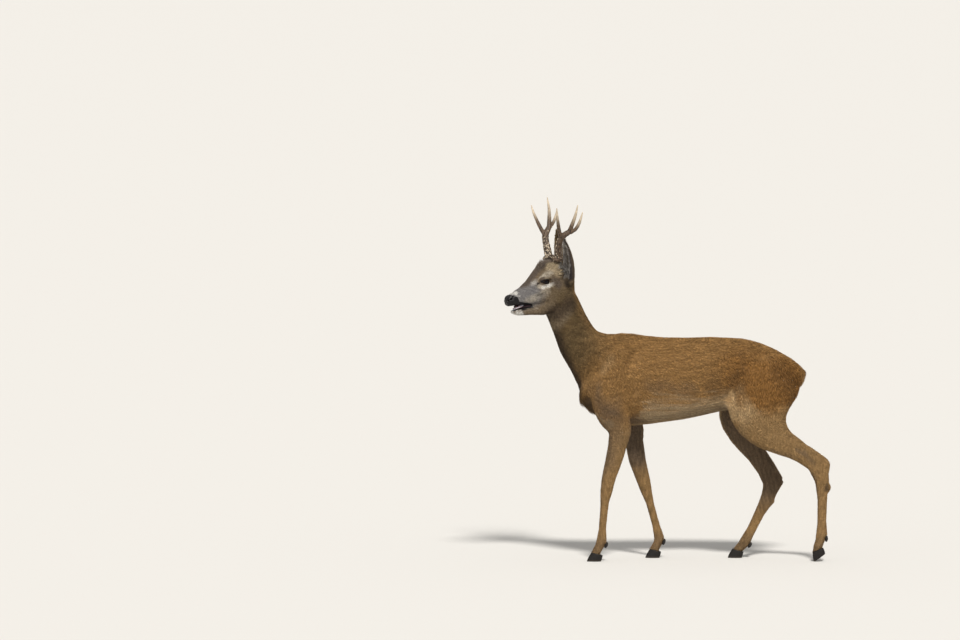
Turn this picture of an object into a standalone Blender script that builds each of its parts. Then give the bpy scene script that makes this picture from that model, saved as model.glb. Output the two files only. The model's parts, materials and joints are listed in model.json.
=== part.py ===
"""A roe buck in its summer coat, walking, its head turned a little to its left.

The flesh is lofted from named stations, fused and smoothed as one body, then
parted with thin cuts into head, jaw, neck, trunk and the lengths of each leg.
Eyes, ears, antlers, tongue, tail, hooves and dewclaws are bodies of their own.
Metres, +Z up.  The buck faces -X and its left side is -Y.
"""
import math

import bmesh
import bpy
import numpy as np
from mathutils import Matrix, Vector

# ---------------------------------------------------------------- driving sizes
GAP = 0.0003                 # clearance between pieces that touch
VOXEL = 0.0026               # cell size when the masses of the body are fused
FAR = 0.7                    # reach of a cutting block, past any piece
FLESH_TRIANGLES = 3200       # for the whole body before it is parted
SOFTENING = (0.5, 48)        # strength and passes of the smoothing over the joined masses
STIFF_SHARE = 0.12           # how much of that smoothing the feet still get
SHARP_EDGE = 50.0            # degrees
SIDES = {"left": -1.0, "right": 1.0}

HEAD_PIVOT = Vector((-0.317, 0.0, 0.893))    # the back of the skull
HEAD_YAW = math.radians(24.5)                # turned to the buck's left
HEAD_PITCH = math.radians(21.2)              # nose below the back of the skull

# Trunk: x, top, bottom, half width, roundness of back, roundness of belly
TRUNK = [
    (-0.270, 0.552, 0.492, 0.040, 1.0, 1.0),
    (-0.242, 0.606, 0.462, 0.069, 1.0, 1.0),
    (-0.209, 0.655, 0.437, 0.081, 1.1, 1.0),
    (-0.172, 0.698, 0.419, 0.086, 1.3, 1.1),
    (-0.126, 0.704, 0.413, 0.088, 1.5, 1.1),
    (-0.071, 0.696, 0.417, 0.095, 1.4, 1.0),
    (-0.018, 0.690, 0.424, 0.102, 1.2, 0.9),
    (0.052, 0.688, 0.434, 0.106, 1.1, 0.9),
    (0.114, 0.690, 0.447, 0.104, 1.1, 0.9),
    (0.166, 0.689, 0.459, 0.099, 1.1, 0.9),
    (0.237, 0.684, 0.470, 0.091, 1.1, 1.0),
    (0.299, 0.666, 0.487, 0.085, 1.0, 1.0),
    (0.360, 0.636, 0.508, 0.074, 1.0, 1.0),
    (0.400, 0.609, 0.530, 0.056, 1.0, 1.0),
    (0.420, 0.588, 0.548, 0.034, 1.0, 1.0),
]
# Neck: nape x, z, throat x, z, half width
NECK = [
    (-0.312, 0.893, -0.392, 0.815, 0.036),
    (-0.296, 0.852, -0.383, 0.772, 0.040),
    (-0.278, 0.817, -0.369, 0.740, 0.042),
    (-0.260, 0.777, -0.357, 0.708, 0.044),
    (-0.242, 0.743, -0.345, 0.675, 0.048),
    (-0.222, 0.714, -0.333, 0.641, 0.055),
    (-0.194, 0.701, -0.317, 0.613, 0.062),
    (-0.160, 0.698, -0.300, 0.583, 0.069),
    (-0.120, 0.682, -0.281, 0.553, 0.074),
    (-0.080, 0.640, -0.262, 0.508, 0.074),
]
# Foreleg: x, z, distance from the middle plane, half depth, half width
FORELEG = {
    "left": [
        (-0.128, 0.655, 0.046, 0.034, 0.020),
        (-0.150, 0.600, 0.054, 0.052, 0.029),
        (-0.172, 0.545, 0.058, 0.057, 0.032),
        (-0.184, 0.500, 0.060, 0.054, 0.033),
        (-0.172, 0.455, 0.065, 0.050, 0.031),
        (-0.150, 0.413, 0.068, 0.040, 0.027),
        (-0.154, 0.370, 0.068, 0.031, 0.023),
        (-0.165, 0.320, 0.067, 0.0275, 0.021),
        (-0.179, 0.271, 0.066, 0.0235, 0.0190),
        (-0.186, 0.240, 0.065, 0.0212, 0.0185),
        (-0.190, 0.214, 0.064, 0.0190, 0.0180),
        (-0.194, 0.189, 0.063, 0.0148, 0.0145),
        (-0.197, 0.158, 0.062, 0.0130, 0.0125),
        (-0.201, 0.108, 0.061, 0.0126, 0.0120),
        (-0.203, 0.078, 0.060, 0.0150, 0.0138),
        (-0.205, 0.062, 0.060, 0.0168, 0.0156),
        (-0.212, 0.045, 0.060, 0.0140, 0.0158),
        (-0.219, 0.032, 0.060, 0.0145, 0.0165),
        (-0.227, 0.012, 0.060, 0.0150, 0.0160),
    ],
    "right": [
        (-0.128, 0.655, 0.046, 0.034, 0.020),
        (-0.150, 0.600, 0.054, 0.052, 0.029),
        (-0.168, 0.545, 0.058, 0.057, 0.032),
        (-0.172, 0.500, 0.060, 0.054, 0.033),
        (-0.148, 0.455, 0.065, 0.050, 0.031),
        (-0.112, 0.410, 0.068, 0.040, 0.027),
        (-0.103, 0.362, 0.068, 0.030, 0.023),
        (-0.093, 0.305, 0.067, 0.0275, 0.021),
        (-0.080, 0.260, 0.066, 0.0232, 0.0190),
        (-0.072, 0.234, 0.065, 0.0215, 0.0185),
        (-0.065, 0.209, 0.064, 0.0185, 0.0180),
        (-0.058, 0.186, 0.063, 0.0148, 0.0145),
        (-0.051, 0.160, 0.062, 0.0130, 0.0125),
        (-0.036, 0.105, 0.061, 0.0126, 0.0120),
        (-0.028, 0.076, 0.060, 0.0150, 0.0138),
        (-0.025, 0.060, 0.060, 0.0168, 0.0156),
        (-0.030, 0.044, 0.060, 0.0140, 0.0158),
        (-0.037, 0.031, 0.060, 0.0145, 0.0165),
        (-0.045, 0.012, 0.060, 0.0150, 0.0160),
    ],
}
HINDLEG = {
    "left": [
        (0.284, 0.622, 0.046, 0.046, 0.034),
        (0.298, 0.588, 0.053, 0.082, 0.044),
        (0.288, 0.545, 0.058, 0.108, 0.047),
        (0.272, 0.493, 0.061, 0.097, 0.043),
        (0.278, 0.443, 0.062, 0.081, 0.037),
        (0.302, 0.404, 0.062, 0.060, 0.031),
        (0.341, 0.375, 0.062, 0.046, 0.027),
        (0.382, 0.353, 0.062, 0.037, 0.023),
        (0.419, 0.328, 0.062, 0.0300, 0.020),
        (0.450, 0.302, 0.062, 0.0270, 0.0185),
        (0.468, 0.272, 0.062, 0.0270, 0.0190),
        (0.474, 0.246, 0.062, 0.0230, 0.0175),
        (0.475, 0.216, 0.062, 0.0190, 0.0150),
        (0.475, 0.185, 0.062, 0.0162, 0.0135),
        (0.474, 0.130, 0.061, 0.0150, 0.0130),
        (0.474, 0.100, 0.060, 0.0170, 0.0145),
        (0.473, 0.084, 0.060, 0.0182, 0.0160),
        (0.468, 0.063, 0.060, 0.0150, 0.0158),
        (0.463, 0.047, 0.060, 0.0152, 0.0165),
        (0.457, 0.020, 0.060, 0.0140, 0.0155),
    ],
    "right": [
        (0.284, 0.622, 0.046, 0.046, 0.034),
        (0.292, 0.588, 0.053, 0.080, 0.044),
        (0.272, 0.545, 0.058, 0.100, 0.047),
        (0.242, 0.489, 0.061, 0.086, 0.043),
        (0.222, 0.437, 0.062, 0.067, 0.037),
        (0.226, 0.395, 0.062, 0.047, 0.031),
        (0.244, 0.359, 0.062, 0.036, 0.026),
        (0.270, 0.323, 0.062, 0.0295, 0.022),
        (0.295, 0.286, 0.062, 0.0270, 0.020),
        (0.312, 0.256, 0.062, 0.0260, 0.0185),
        (0.321, 0.229, 0.062, 0.0265, 0.0190),
        (0.316, 0.202, 0.062, 0.0240, 0.0175),
        (0.304, 0.172, 0.062, 0.0205, 0.0150),
        (0.288, 0.143, 0.062, 0.0172, 0.0135),
        (0.263, 0.092, 0.061, 0.0150, 0.0130),
        (0.249, 0.066, 0.060, 0.0165, 0.0145),
        (0.241, 0.050, 0.060, 0.0178, 0.0160),
        (0.231, 0.038, 0.060, 0.0150, 0.0160),
        (0.222, 0.028, 0.060, 0.0150, 0.0165),
        (0.212, 0.010, 0.060, 0.0150, 0.0160),
    ],
}
# The muscle between tail and thigh, alike on both sides; the same numbers as above
BREECH = [(0.392, 0.556, 0.026, 0.0200, 0.0240), (0.3835, 0.520, 0.034, 0.0200, 0.0250),
          (0.364, 0.478, 0.044, 0.0140, 0.0230), (0.350, 0.450, 0.050, 0.0120, 0.0200)]
# What stands off behind the hind leg: the rear of the thigh, the tendon down to the point of the
# hock, the point itself and the swelling of the gland below it; the same numbers as above
HIND_MASSES = {
    "left": {
        "hamstring": [(0.370, 0.530, 0.056, 0.0240, 0.0260), (0.347, 0.475, 0.060, 0.0250, 0.0290),
                      (0.335, 0.432, 0.062, 0.0300, 0.0290), (0.352, 0.395, 0.062, 0.0260, 0.0250),
                      (0.385, 0.370, 0.062, 0.0180, 0.0180)],
        "breech": BREECH,
        "tendon": [(0.398, 0.369, 0.062, 0.0110, 0.0095), (0.445, 0.3385, 0.062, 0.0105, 0.0090),
                   (0.4895, 0.3085, 0.062, 0.0095, 0.0085)],
        "point": [(0.4910, 0.3105, 0.062, 0.0080, 0.0080), (0.4890, 0.3010, 0.062, 0.0110, 0.0105),
                  (0.4835, 0.2855, 0.062, 0.0150, 0.0135), (0.4740, 0.2480, 0.062, 0.0130, 0.0130)],
        "gland": [(0.4850, 0.2480, 0.063, 0.0060, 0.0080), (0.4905, 0.2310, 0.064, 0.0125, 0.0115),
                  (0.4870, 0.2140, 0.063, 0.0080, 0.0085)],
    },
    "right": {
        "breech": BREECH,
        "tendon": [(0.291, 0.337, 0.062, 0.0105, 0.0095), (0.3265, 0.2835, 0.062, 0.0100, 0.0090),
                   (0.3505, 0.2430, 0.062, 0.0095, 0.0085)],
        "point": [(0.3520, 0.2425, 0.062, 0.0080, 0.0080), (0.3490, 0.2330, 0.062, 0.0110, 0.0105),
                  (0.3395, 0.2275, 0.062, 0.0150, 0.0135), (0.3260, 0.2000, 0.062, 0.0130, 0.0130)],
        "gland": [(0.3240, 0.1960, 0.063, 0.0060, 0.0080), (0.3220, 0.1780, 0.064, 0.0120, 0.0115),
                  (0.3120, 0.1620, 0.063, 0.0080, 0.0085)],
    },
}

# Head, in its own frame: x forward, z up.
# x, top, bottom, half width, roundness above, roundness below
SKULL = [
    (-0.012, 0.000, -0.060, 0.022, 1.0, 1.0),
    (0.000, 0.012, -0.066, 0.031, 1.0, 0.9),
    (0.020, 0.031, -0.072, 0.037, 0.9, 0.9),
    (0.040, 0.045, -0.076, 0.041, 0.8, 0.9),
    (0.060, 0.051, -0.078, 0.043, 0.7, 0.9),
    (0.080, 0.048, -0.076, 0.044, 0.7, 0.9),
    (0.100, 0.039, -0.070, 0.041, 0.7, 0.9),
    (0.115, 0.032, -0.065, 0.037, 0.8, 0.9),
    (0.130, 0.024, -0.060, 0.032, 0.8, 0.8),
    (0.150, 0.016, -0.052, 0.0275, 0.8, 0.8),
    (0.170, 0.010, -0.043, 0.0245, 0.8, 0.8),
    (0.190, 0.007, -0.036, 0.0225, 0.8, 0.8),
    (0.205, 0.004, -0.031, 0.0210, 0.8, 0.8),
    (0.215, 0.000, -0.029, 0.0190, 0.8, 0.8),
    (0.222, -0.006, -0.026, 0.0130, 0.9, 0.9),
]
JAW = [
    (0.040, -0.050, -0.098, 0.026, 1.0, 0.9),
    (0.055, -0.050, -0.102, 0.032, 1.0, 0.9),
    (0.080, -0.050, -0.103, 0.031, 1.0, 0.9),
    (0.110, -0.052, -0.101, 0.028, 0.9, 0.9),
    (0.130, -0.054, -0.094, 0.025, 0.9, 0.9),
    (0.150, -0.055, -0.085, 0.022, 0.8, 0.9),
    (0.170, -0.051, -0.077, 0.0195, 0.8, 0.9),
    (0.190, -0.044, -0.070, 0.0175, 0.8, 0.9),
    (0.205, -0.038, -0.063, 0.0160, 0.8, 0.9),
    (0.214, -0.037, -0.056, 0.0115, 0.9, 0.9),
]
# Rounded masses of the head: centre x, y, z and half sizes, in the head's frame
MASSES = {
    "brow": ((0.088, 0.036, 0.011), (0.026, 0.013, 0.012)),
    "cheekbone": ((0.098, 0.035, -0.018), (0.034, 0.011, 0.012)),
    "cheek": ((0.062, 0.030, -0.052), (0.032, 0.014, 0.034)),
    "ear_root": ((0.010, 0.034, -0.026), (0.019, 0.015, 0.024)),
    "nostril_wing": ((0.208, 0.011, -0.012), (0.013, 0.0105, 0.012)),
}

EYE_CENTRE = Vector((0.0900, 0.0325, 0.0042))  # of the left eyeball, head's frame
EYE_RADIUS = 0.0145
EYE_OPENING = (0.0152, 0.0086)               # half length and half height of the lids
LID_SLANT = 0.28                             # rise of the opening per length, to the front
TONGUE = ((0.186, 0.0, -0.0425), (0.021, 0.0100, 0.0032))

EAR_ROOT = Vector((0.011, 0.038, -0.031))    # of the left ear, head's frame
EAR_TIP = {"left": Vector((-0.3290, -0.1170, 0.993)),
           "right": Vector((-0.3540, 0.0640, 1.017))}
# Along an ear: share of its length, width across, and how far round it curls in degrees
EAR_LEAF = [(0.00, 0.026, 290.0), (0.12, 0.034, 250.0), (0.30, 0.047, 195.0), (0.50, 0.055, 150.0),
            (0.70, 0.050, 125.0), (0.86, 0.034, 105.0), (1.00, 0.008, 80.0)]
EAR_TURN = 0.08                              # share by which the cups open outward
EAR_THICKNESS = 0.0042

BURR_MIDDLE = Vector((-0.353, 0.0, 0.932))   # halfway between the two burrs
BURR_SPACING = 0.031                         # from the middle to each burr
BURR_RADIUS = 0.0195
BURR_PROFILE = [(-0.0015, 0.55), (0.002, 0.92), (0.005, 1.0), (0.0085, 0.86), (0.011, 0.58)]
# Antler lines from the burr: forward, outward, up and radius; the two differ as real ones do
ANTLER = {
    "left": {
        "beam": [
            (0.000, 0.000, -0.004, 0.0122), (0.002, 0.008, 0.022, 0.0112), (0.003, 0.017, 0.046, 0.0102),
            (-0.001, 0.0255, 0.066, 0.0104), (-0.012, 0.031, 0.077, 0.0090), (-0.023, 0.035, 0.084, 0.0082)],
        "front_tine": [
            (-0.002, 0.024, 0.061, 0.0072), (0.010, 0.034, 0.084, 0.0066), (0.020, 0.046, 0.112, 0.0054),
            (0.028, 0.056, 0.138, 0.0038), (0.032, 0.062, 0.160, 0.0014)],
        "top_tine": [
            (-0.0232, 0.0351, 0.0842, 0.0078), (-0.029, 0.043, 0.106, 0.0064),
            (-0.036, 0.053, 0.137, 0.0046), (-0.040, 0.061, 0.168, 0.0014)],
        "rear_tine": [
            (-0.018, 0.033, 0.079, 0.0064), (-0.039, 0.044, 0.091, 0.0060),
            (-0.050, 0.053, 0.115, 0.0048), (-0.056, 0.062, 0.146, 0.0014)],
    },
    "right": {
        "beam": [
            (0.000, 0.000, -0.004, 0.0122), (0.002, 0.008, 0.022, 0.0112), (0.003, 0.017, 0.046, 0.0102),
            (0.001, 0.026, 0.068, 0.0104), (-0.009, 0.031, 0.083, 0.0090), (-0.015, 0.033, 0.092, 0.0082)],
        "front_tine": [
            (-0.002, 0.024, 0.062, 0.0072), (0.010, 0.034, 0.084, 0.0066), (0.020, 0.046, 0.112, 0.0054),
            (0.028, 0.056, 0.138, 0.0038), (0.032, 0.062, 0.160, 0.0014)],
        "top_tine": [
            (-0.0152, 0.0331, 0.0922, 0.0078), (-0.020, 0.042, 0.118, 0.0064),
            (-0.024, 0.053, 0.148, 0.0046), (-0.022, 0.062, 0.183, 0.0014)],
        "rear_tine": [
            (-0.011, 0.031, 0.086, 0.0064), (-0.030, 0.042, 0.101, 0.0058),
            (-0.045, 0.053, 0.118, 0.0046), (-0.056, 0.062, 0.146, 0.0014)],
    },
}
# Swellings that carry each burr: forward, outward and up of it, and their half sizes
PEDICLES = [((0.000, -0.001, -0.017), (0.0145, 0.0145, 0.0190)),
            ((0.008, -0.009, -0.036), (0.0190, 0.0165, 0.0250))]

# Claws, and for each foot the x, y of the middle of the pair and how far its toe is turned down
CLAW_LENGTH = 0.044
CLAW_WIDTH = 0.0165
CLAW_HEIGHT = 0.028
HEEL_HEIGHT = 0.018
CLAW_SPACING = 0.0089        # from the cleft to the middle of each claw
CLAW_TOE = 0.56              # share of the length ahead of the middle
CLAW_TAPER = 0.42            # share of the width lost towards the toe
CLAW_LEAN = 0.010            # how far the top lies behind the sole
CLAW_PIVOT = 0.004           # behind the toe, where a foot rolls forward
CLAW_LEVELS = [(0.0, 1.0, 1.0), (0.4, 0.97, 1.03), (1.0, 0.80, 0.96)]   # height, length, width
FEET = {
    "fore_left": (-0.226, -0.060, 0.0),
    "fore_right": (-0.044, 0.060, 0.0),
    "hind_left": (0.4730, -0.060, 36.0),
    "hind_right": (0.211, 0.060, 0.0),
}
FLAT_AT_TOE = 0.0022         # how much a foot on its toe is worn flat
DEWCLAWS = {                 # x, z of the middle of the pair and its lean, degrees
    "fore_left": (-0.1905, 0.050, 25.0),
    "fore_right": (-0.0105, 0.049, 20.0),
    "hind_left": (0.4880, 0.070, 5.0),
    "hind_right": (0.2555, 0.039, 35.0),
}
DEWCLAW_HALF_SIZES = (0.0055, 0.0048, 0.0105)
DEWCLAW_SPACING = 0.0085
TAIL = ((0.4135, 0.0, 0.573), (0.012, 0.013, 0.023))

# Cuts that part the flesh: side-view points each plane runs through, or a point and a normal
HEAD_CUT = ((-0.283, 0.850), (-0.372, 0.742))
NECK_CUT = ((-0.197, 0.700), (-0.262, 0.499))
FORELEG_BLOCK = ((-0.32, 0.034, -0.1), (0.08, 0.3, 0.412))
WRIST_CUT = {"left": ((-0.190, 0.205), (-0.1, -1.0)), "right": ((-0.064, 0.203), (0.2, -1.0))}
THIGH_CUT = ((0.136, 0.446), (0.410, 0.506))
THIGH_BLOCK = ((0.14, GAP / 2, -0.2), (0.60, 0.3, 0.60))
STIFLE_CUT = {"left": ((0.228, 0.370), (0.360, 0.437)), "right": ((0.168, 0.376), (0.276, 0.423))}
HOCK_CUT = {"left": ((0.472, 0.246), (0.0, -1.0)), "right": ((0.314, 0.205), (-0.25, -1.0))}
# Lower jaw: angle of the jaw, corner of the mouth and a place past the lips, head's frame
JAW_CUT = ((0.038, -0.062), (0.149, -0.0535), (0.30, -0.034))
JAW_DEPTH = -0.20
JAW_REACH = 0.12             # sideways, past the cheeks

COLOURS = {
    "coat": (0.30, 0.125, 0.045), "face": (0.26, 0.19, 0.13), "leg": (0.36, 0.18, 0.075),
    "horn": (0.06, 0.045, 0.035), "antler": (0.20, 0.13, 0.08), "eye": (0.012, 0.009, 0.008),
    "ear": (0.14, 0.10, 0.08), "tongue": (0.42, 0.20, 0.19),
}
ROUGHNESS = {"horn": 0.35, "eye": 0.08, "tongue": 0.4}
MATT = 0.8


# ---------------------------------------------------------------- mesh helpers
def clear_scene():
    for item in list(bpy.data.objects):
        bpy.data.objects.remove(item, do_unlink=True)


def material(name):
    """The material of one kind of surface."""
    made = bpy.data.materials.get(name) or bpy.data.materials.new(name)
    made.use_nodes = True
    shader = made.node_tree.nodes["Principled BSDF"]
    shader.inputs["Base Color"].default_value = (*COLOURS[name], 1.0)
    shader.inputs["Roughness"].default_value = ROUGHNESS.get(name, MATT)
    shader.inputs["Metallic"].default_value = 0.0
    return made


def new_object(name, mesh):
    made = bpy.data.objects.new(name, mesh)
    bpy.context.collection.objects.link(made)
    return made


def evaluated(thing, name=None):
    """A copy of a thing's mesh with its modifiers applied."""
    bpy.context.view_layer.update()
    graph = bpy.context.evaluated_depsgraph_get()
    mesh = bpy.data.meshes.new_from_object(thing.evaluated_get(graph))
    mesh.name = name or thing.name
    return mesh


def bake(thing):
    mesh = evaluated(thing)
    thing.modifiers.clear()
    thing.data = mesh


def spline(rows, steps):
    """A smooth line through rows of numbers, with so many steps between two rows."""
    rows = np.array(rows, dtype=float)
    padded = np.vstack([2.0 * rows[0] - rows[1], rows, 2.0 * rows[-1] - rows[-2]])
    line = []
    for k in range(len(rows) - 1):
        a, b, c, d = padded[k:k + 4]
        for step in range(steps):
            t = step / steps
            line.append(0.5 * (2 * b + (c - a) * t + (2 * a - 5 * b + 4 * c - d) * t ** 2
                               + (3 * b - a - 3 * c + d) * t ** 3))
    line.append(rows[-1])
    return np.array(line)


def skinned(rings, name):
    """A closed mesh over a row of rings, each a loop of points."""
    shape = bmesh.new()
    loops = [[shape.verts.new(point) for point in ring] for ring in rings]
    count = len(loops[0])
    for near, after in zip(loops, loops[1:]):
        for k in range(count):
            shape.faces.new((near[k], near[(k + 1) % count], after[(k + 1) % count], after[k]))
    shape.faces.new(loops[0])
    shape.faces.new(loops[-1])
    bmesh.ops.recalc_face_normals(shape, faces=shape.faces)
    bmesh.ops.triangulate(shape, faces=shape.faces)
    mesh = bpy.data.meshes.new(name)
    shape.to_mesh(mesh)
    shape.free()
    return mesh


def rounded_ring(centre, side, up, half_width, above, below, round_above, round_below, count):
    """An egg-shaped loop; a roundness over 1 draws it to a ridge, under 1 squares it."""
    ring = []
    for k in range(count):
        turn = 2.0 * math.pi * k / count
        across, along = math.cos(turn), math.sin(turn)
        power = round_above if along >= 0.0 else round_below
        reach = above if along >= 0.0 else below
        width = math.copysign(abs(across) ** power, across) * half_width
        ring.append(centre + side * width + up * (along * reach))
    return ring


def limb(name, rows, lateral, steps=4, count=20):
    """A mass that follows a line; rows hold x, z, distance from the middle, half depth, half width."""
    line = spline(rows, steps)
    points = [Vector((x, lateral * out, z)) for x, z, out, _, _ in line]
    rings = []
    for k, (_, _, _, depth, width) in enumerate(line):
        ahead = points[min(k + 1, len(points) - 1)] - points[max(k - 1, 0)]
        along = ahead.normalized()
        side = (Vector((0, 1, 0)) - along * along.y).normalized()
        up = along.cross(side)
        rings.append(rounded_ring(points[k], side, up, width, depth, depth, 1.0, 1.0, count))
    return new_object(name, skinned(rings, name))


def block_of_stations(name, rows, frame, steps=4, count=28):
    """A mass of upright loops; rows hold x, top, bottom, half width and two roundnesses."""
    rings = []
    for x, top, bottom, width, above, below in spline(rows, steps):
        middle = bottom + 0.47 * (top - bottom)
        ring = rounded_ring(Vector((x, 0, middle)), Vector((0, 1, 0)), Vector((0, 0, 1)),
                            width, top - middle, middle - bottom, above, below, count)
        rings.append([frame @ point for point in ring])
    return new_object(name, skinned(rings, name))


def ball(name, centre, half_sizes, frame=Matrix(), rings=12):
    shape = bmesh.new()
    bmesh.ops.create_uvsphere(shape, u_segments=2 * rings, v_segments=rings, radius=1.0)
    place = frame @ Matrix.Translation(centre) @ Matrix.Diagonal((*half_sizes, 1.0))
    bmesh.ops.transform(shape, matrix=place, verts=shape.verts)
    bmesh.ops.triangulate(shape, faces=shape.faces)
    mesh = bpy.data.meshes.new(name)
    shape.to_mesh(mesh)
    shape.free()
    return new_object(name, mesh)


def head_frame():
    forward = Vector((-math.cos(HEAD_YAW) * math.cos(HEAD_PITCH),
                      -math.sin(HEAD_YAW) * math.cos(HEAD_PITCH), -math.sin(HEAD_PITCH)))
    left = Vector((math.sin(HEAD_YAW), -math.cos(HEAD_YAW), 0.0))
    up = forward.cross(left)
    frame = Matrix((forward, left, up)).transposed().to_4x4()
    frame.translation = HEAD_PIVOT
    return frame


def head_place(spot, lateral):
    """A place given for the left side of the head, on either side, in the world."""
    return head_frame() @ Vector((spot[0], -lateral * spot[1], spot[2]))


# ---------------------------------------------------------------- cutting
def grown(thing, by, name):
    """A copy of a thing with its surface moved out along its normals."""
    mesh = evaluated(thing, name)
    shape = bmesh.new()
    shape.from_mesh(mesh)
    shape.normal_update()
    for vert in shape.verts:
        vert.co += vert.normal * by * vert.calc_shell_factor()
    shape.to_mesh(mesh)
    shape.free()
    return new_object(name, mesh)


def boolean(thing, cutter, operation):
    modifier = thing.modifiers.new(operation.lower(), "BOOLEAN")
    modifier.operation = operation
    modifier.solver = "EXACT"
    modifier.object = cutter
    bake(thing)
    triangulate(thing)


def triangulate(thing):
    """Flat faces of many corners become triangles, so that the next cut meets exact planes."""
    shape = bmesh.new()
    shape.from_mesh(thing.data)
    bmesh.ops.triangulate(shape, faces=shape.faces)
    shape.to_mesh(thing.data)
    shape.free()


def discard(thing):
    bpy.data.objects.remove(thing, do_unlink=True)


def half_space(point, normal):
    """A large block on the side of a plane that its normal points to."""
    shape = bmesh.new()
    bmesh.ops.create_cube(shape, size=2.0 * FAR)
    turn = Vector(normal).normalized().to_track_quat("Z", "Y").to_matrix().to_4x4()
    place = Matrix.Translation(Vector(point)) @ turn @ Matrix.Translation((0, 0, FAR))
    bmesh.ops.transform(shape, matrix=place, verts=shape.verts)
    mesh = bpy.data.meshes.new("half_space")
    shape.to_mesh(mesh)
    shape.free()
    return new_object("half_space", mesh)


def box_between(low, high):
    low, high = Vector(low), Vector(high)
    shape = bmesh.new()
    bmesh.ops.create_cube(shape, size=1.0)
    place = Matrix.Translation((low + high) / 2) @ Matrix.Diagonal((*(high - low), 1.0))
    bmesh.ops.transform(shape, matrix=place, verts=shape.verts)
    mesh = bpy.data.meshes.new("box")
    shape.to_mesh(mesh)
    shape.free()
    return new_object("box", mesh)


def part_off(thing, cutter, name):
    """The share of a thing inside a cutter becomes a new piece, a gap away from the rest."""
    piece = new_object(name, thing.data.copy())
    boolean(piece, cutter, "INTERSECT")
    wide = grown(cutter, GAP, "wide_cutter")
    boolean(thing, wide, "DIFFERENCE")
    discard(wide)
    discard(cutter)
    return piece


def carve(thing, others, by=GAP):
    """Makes room in a thing for others that sit in it."""
    for other in others:
        cutter = grown(other, by, "room")
        boolean(thing, cutter, "DIFFERENCE")
        discard(cutter)


def keep_largest(thing):
    """Leaves only the largest closed shell of a piece, without slivers, in triangles."""
    shape = bmesh.new()
    shape.from_mesh(thing.data)
    unseen = set(shape.verts)
    shells = []
    while unseen:
        stack = [unseen.pop()]
        shell = set(stack)
        while stack:
            for edge in stack.pop().link_edges:
                for vert in edge.verts:
                    if vert in unseen:
                        unseen.discard(vert)
                        shell.add(vert)
                        stack.append(vert)
        shells.append(shell)
    largest = max(shells, key=len)
    bmesh.ops.delete(shape, geom=[vert for vert in shape.verts if vert not in largest], context="VERTS")
    bmesh.ops.triangulate(shape, faces=shape.faces)
    shape.to_mesh(thing.data)
    shape.free()


# ---------------------------------------------------------------- flesh
def neck_mass():
    rings = []
    for nape_x, nape_z, throat_x, throat_z, width in spline(NECK, 4):
        nape, throat = Vector((nape_x, 0, nape_z)), Vector((throat_x, 0, throat_z))
        half = (nape - throat) / 2
        rings.append(rounded_ring((nape + throat) / 2, Vector((0, 1, 0)), half.normalized(), width,
                                  half.length, half.length, 1.15, 1.0, 24))
    return new_object("neck_mass", skinned(rings, "neck_mass"))


def masses():
    """Every mass of the body, overlapping freely."""
    frame = head_frame()
    made = [block_of_stations("trunk_mass", TRUNK, Matrix(), 4, 40), neck_mass(),
            block_of_stations("skull_mass", SKULL, frame), block_of_stations("jaw_mass", JAW, frame)]
    for side, lateral in SIDES.items():
        for spot, half_sizes in PEDICLES:
            made.append(ball("pedicle", antler_point(lateral, spot), half_sizes))
        made.append(limb("foreleg_mass", FORELEG[side], lateral))
        made.append(limb("hindleg_mass", HINDLEG[side], lateral))
        for name, rows in HIND_MASSES[side].items():
            made.append(limb(name, rows, lateral, 3, 16))
        for name, (centre, half_sizes) in MASSES.items():
            made.append(ball(name, (centre[0], -lateral * centre[1], centre[2]), half_sizes, frame))
    return made


def smoothing_weight(x, z):
    """How far the joins between masses are softened: fully on the trunk, little on head and feet."""
    above_knees = min(max((z - 0.33) / 0.10, 0.0), 1.0)
    on_head = min(max((-x - z * 0.45 + 0.065) / 0.05, 0.0), 1.0) if z > 0.70 else 0.0
    return max(STIFF_SHARE, above_knees * (1.0 - 0.85 * on_head))


def fused_flesh():
    """One smooth closed body from all the masses."""
    shape = bmesh.new()
    for mass in masses():
        shape.from_mesh(mass.data)
        discard(mass)
    mesh = bpy.data.meshes.new("flesh")
    shape.to_mesh(mesh)
    shape.free()
    flesh = new_object("flesh", mesh)
    remesh = flesh.modifiers.new("fuse", "REMESH")
    remesh.mode = "VOXEL"
    remesh.voxel_size = VOXEL
    bake(flesh)
    group = flesh.vertex_groups.new(name="soft")
    for vert in flesh.data.vertices:
        group.add([vert.index], smoothing_weight(vert.co.x, vert.co.z), "REPLACE")
    soften = flesh.modifiers.new("soften", "SMOOTH")
    soften.factor, soften.iterations = SOFTENING
    soften.vertex_group = "soft"
    bake(flesh)
    return flesh


def thin_out(flesh):
    """Collapses edges until the body has its share of the triangles."""
    count = sum(len(face.vertices) - 2 for face in flesh.data.polygons)
    collapse = flesh.modifiers.new("collapse", "DECIMATE")
    collapse.ratio = FLESH_TRIANGLES / count
    bake(flesh)
    keep_largest(flesh)


# ---------------------------------------------------------------- pieces of their own
def eye(side):
    lateral = SIDES[side]
    return ball("eye_" + side, (EYE_CENTRE.x, -lateral * EYE_CENTRE.y, EYE_CENTRE.z),
                (EYE_RADIUS,) * 3, head_frame(), 6)


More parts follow.
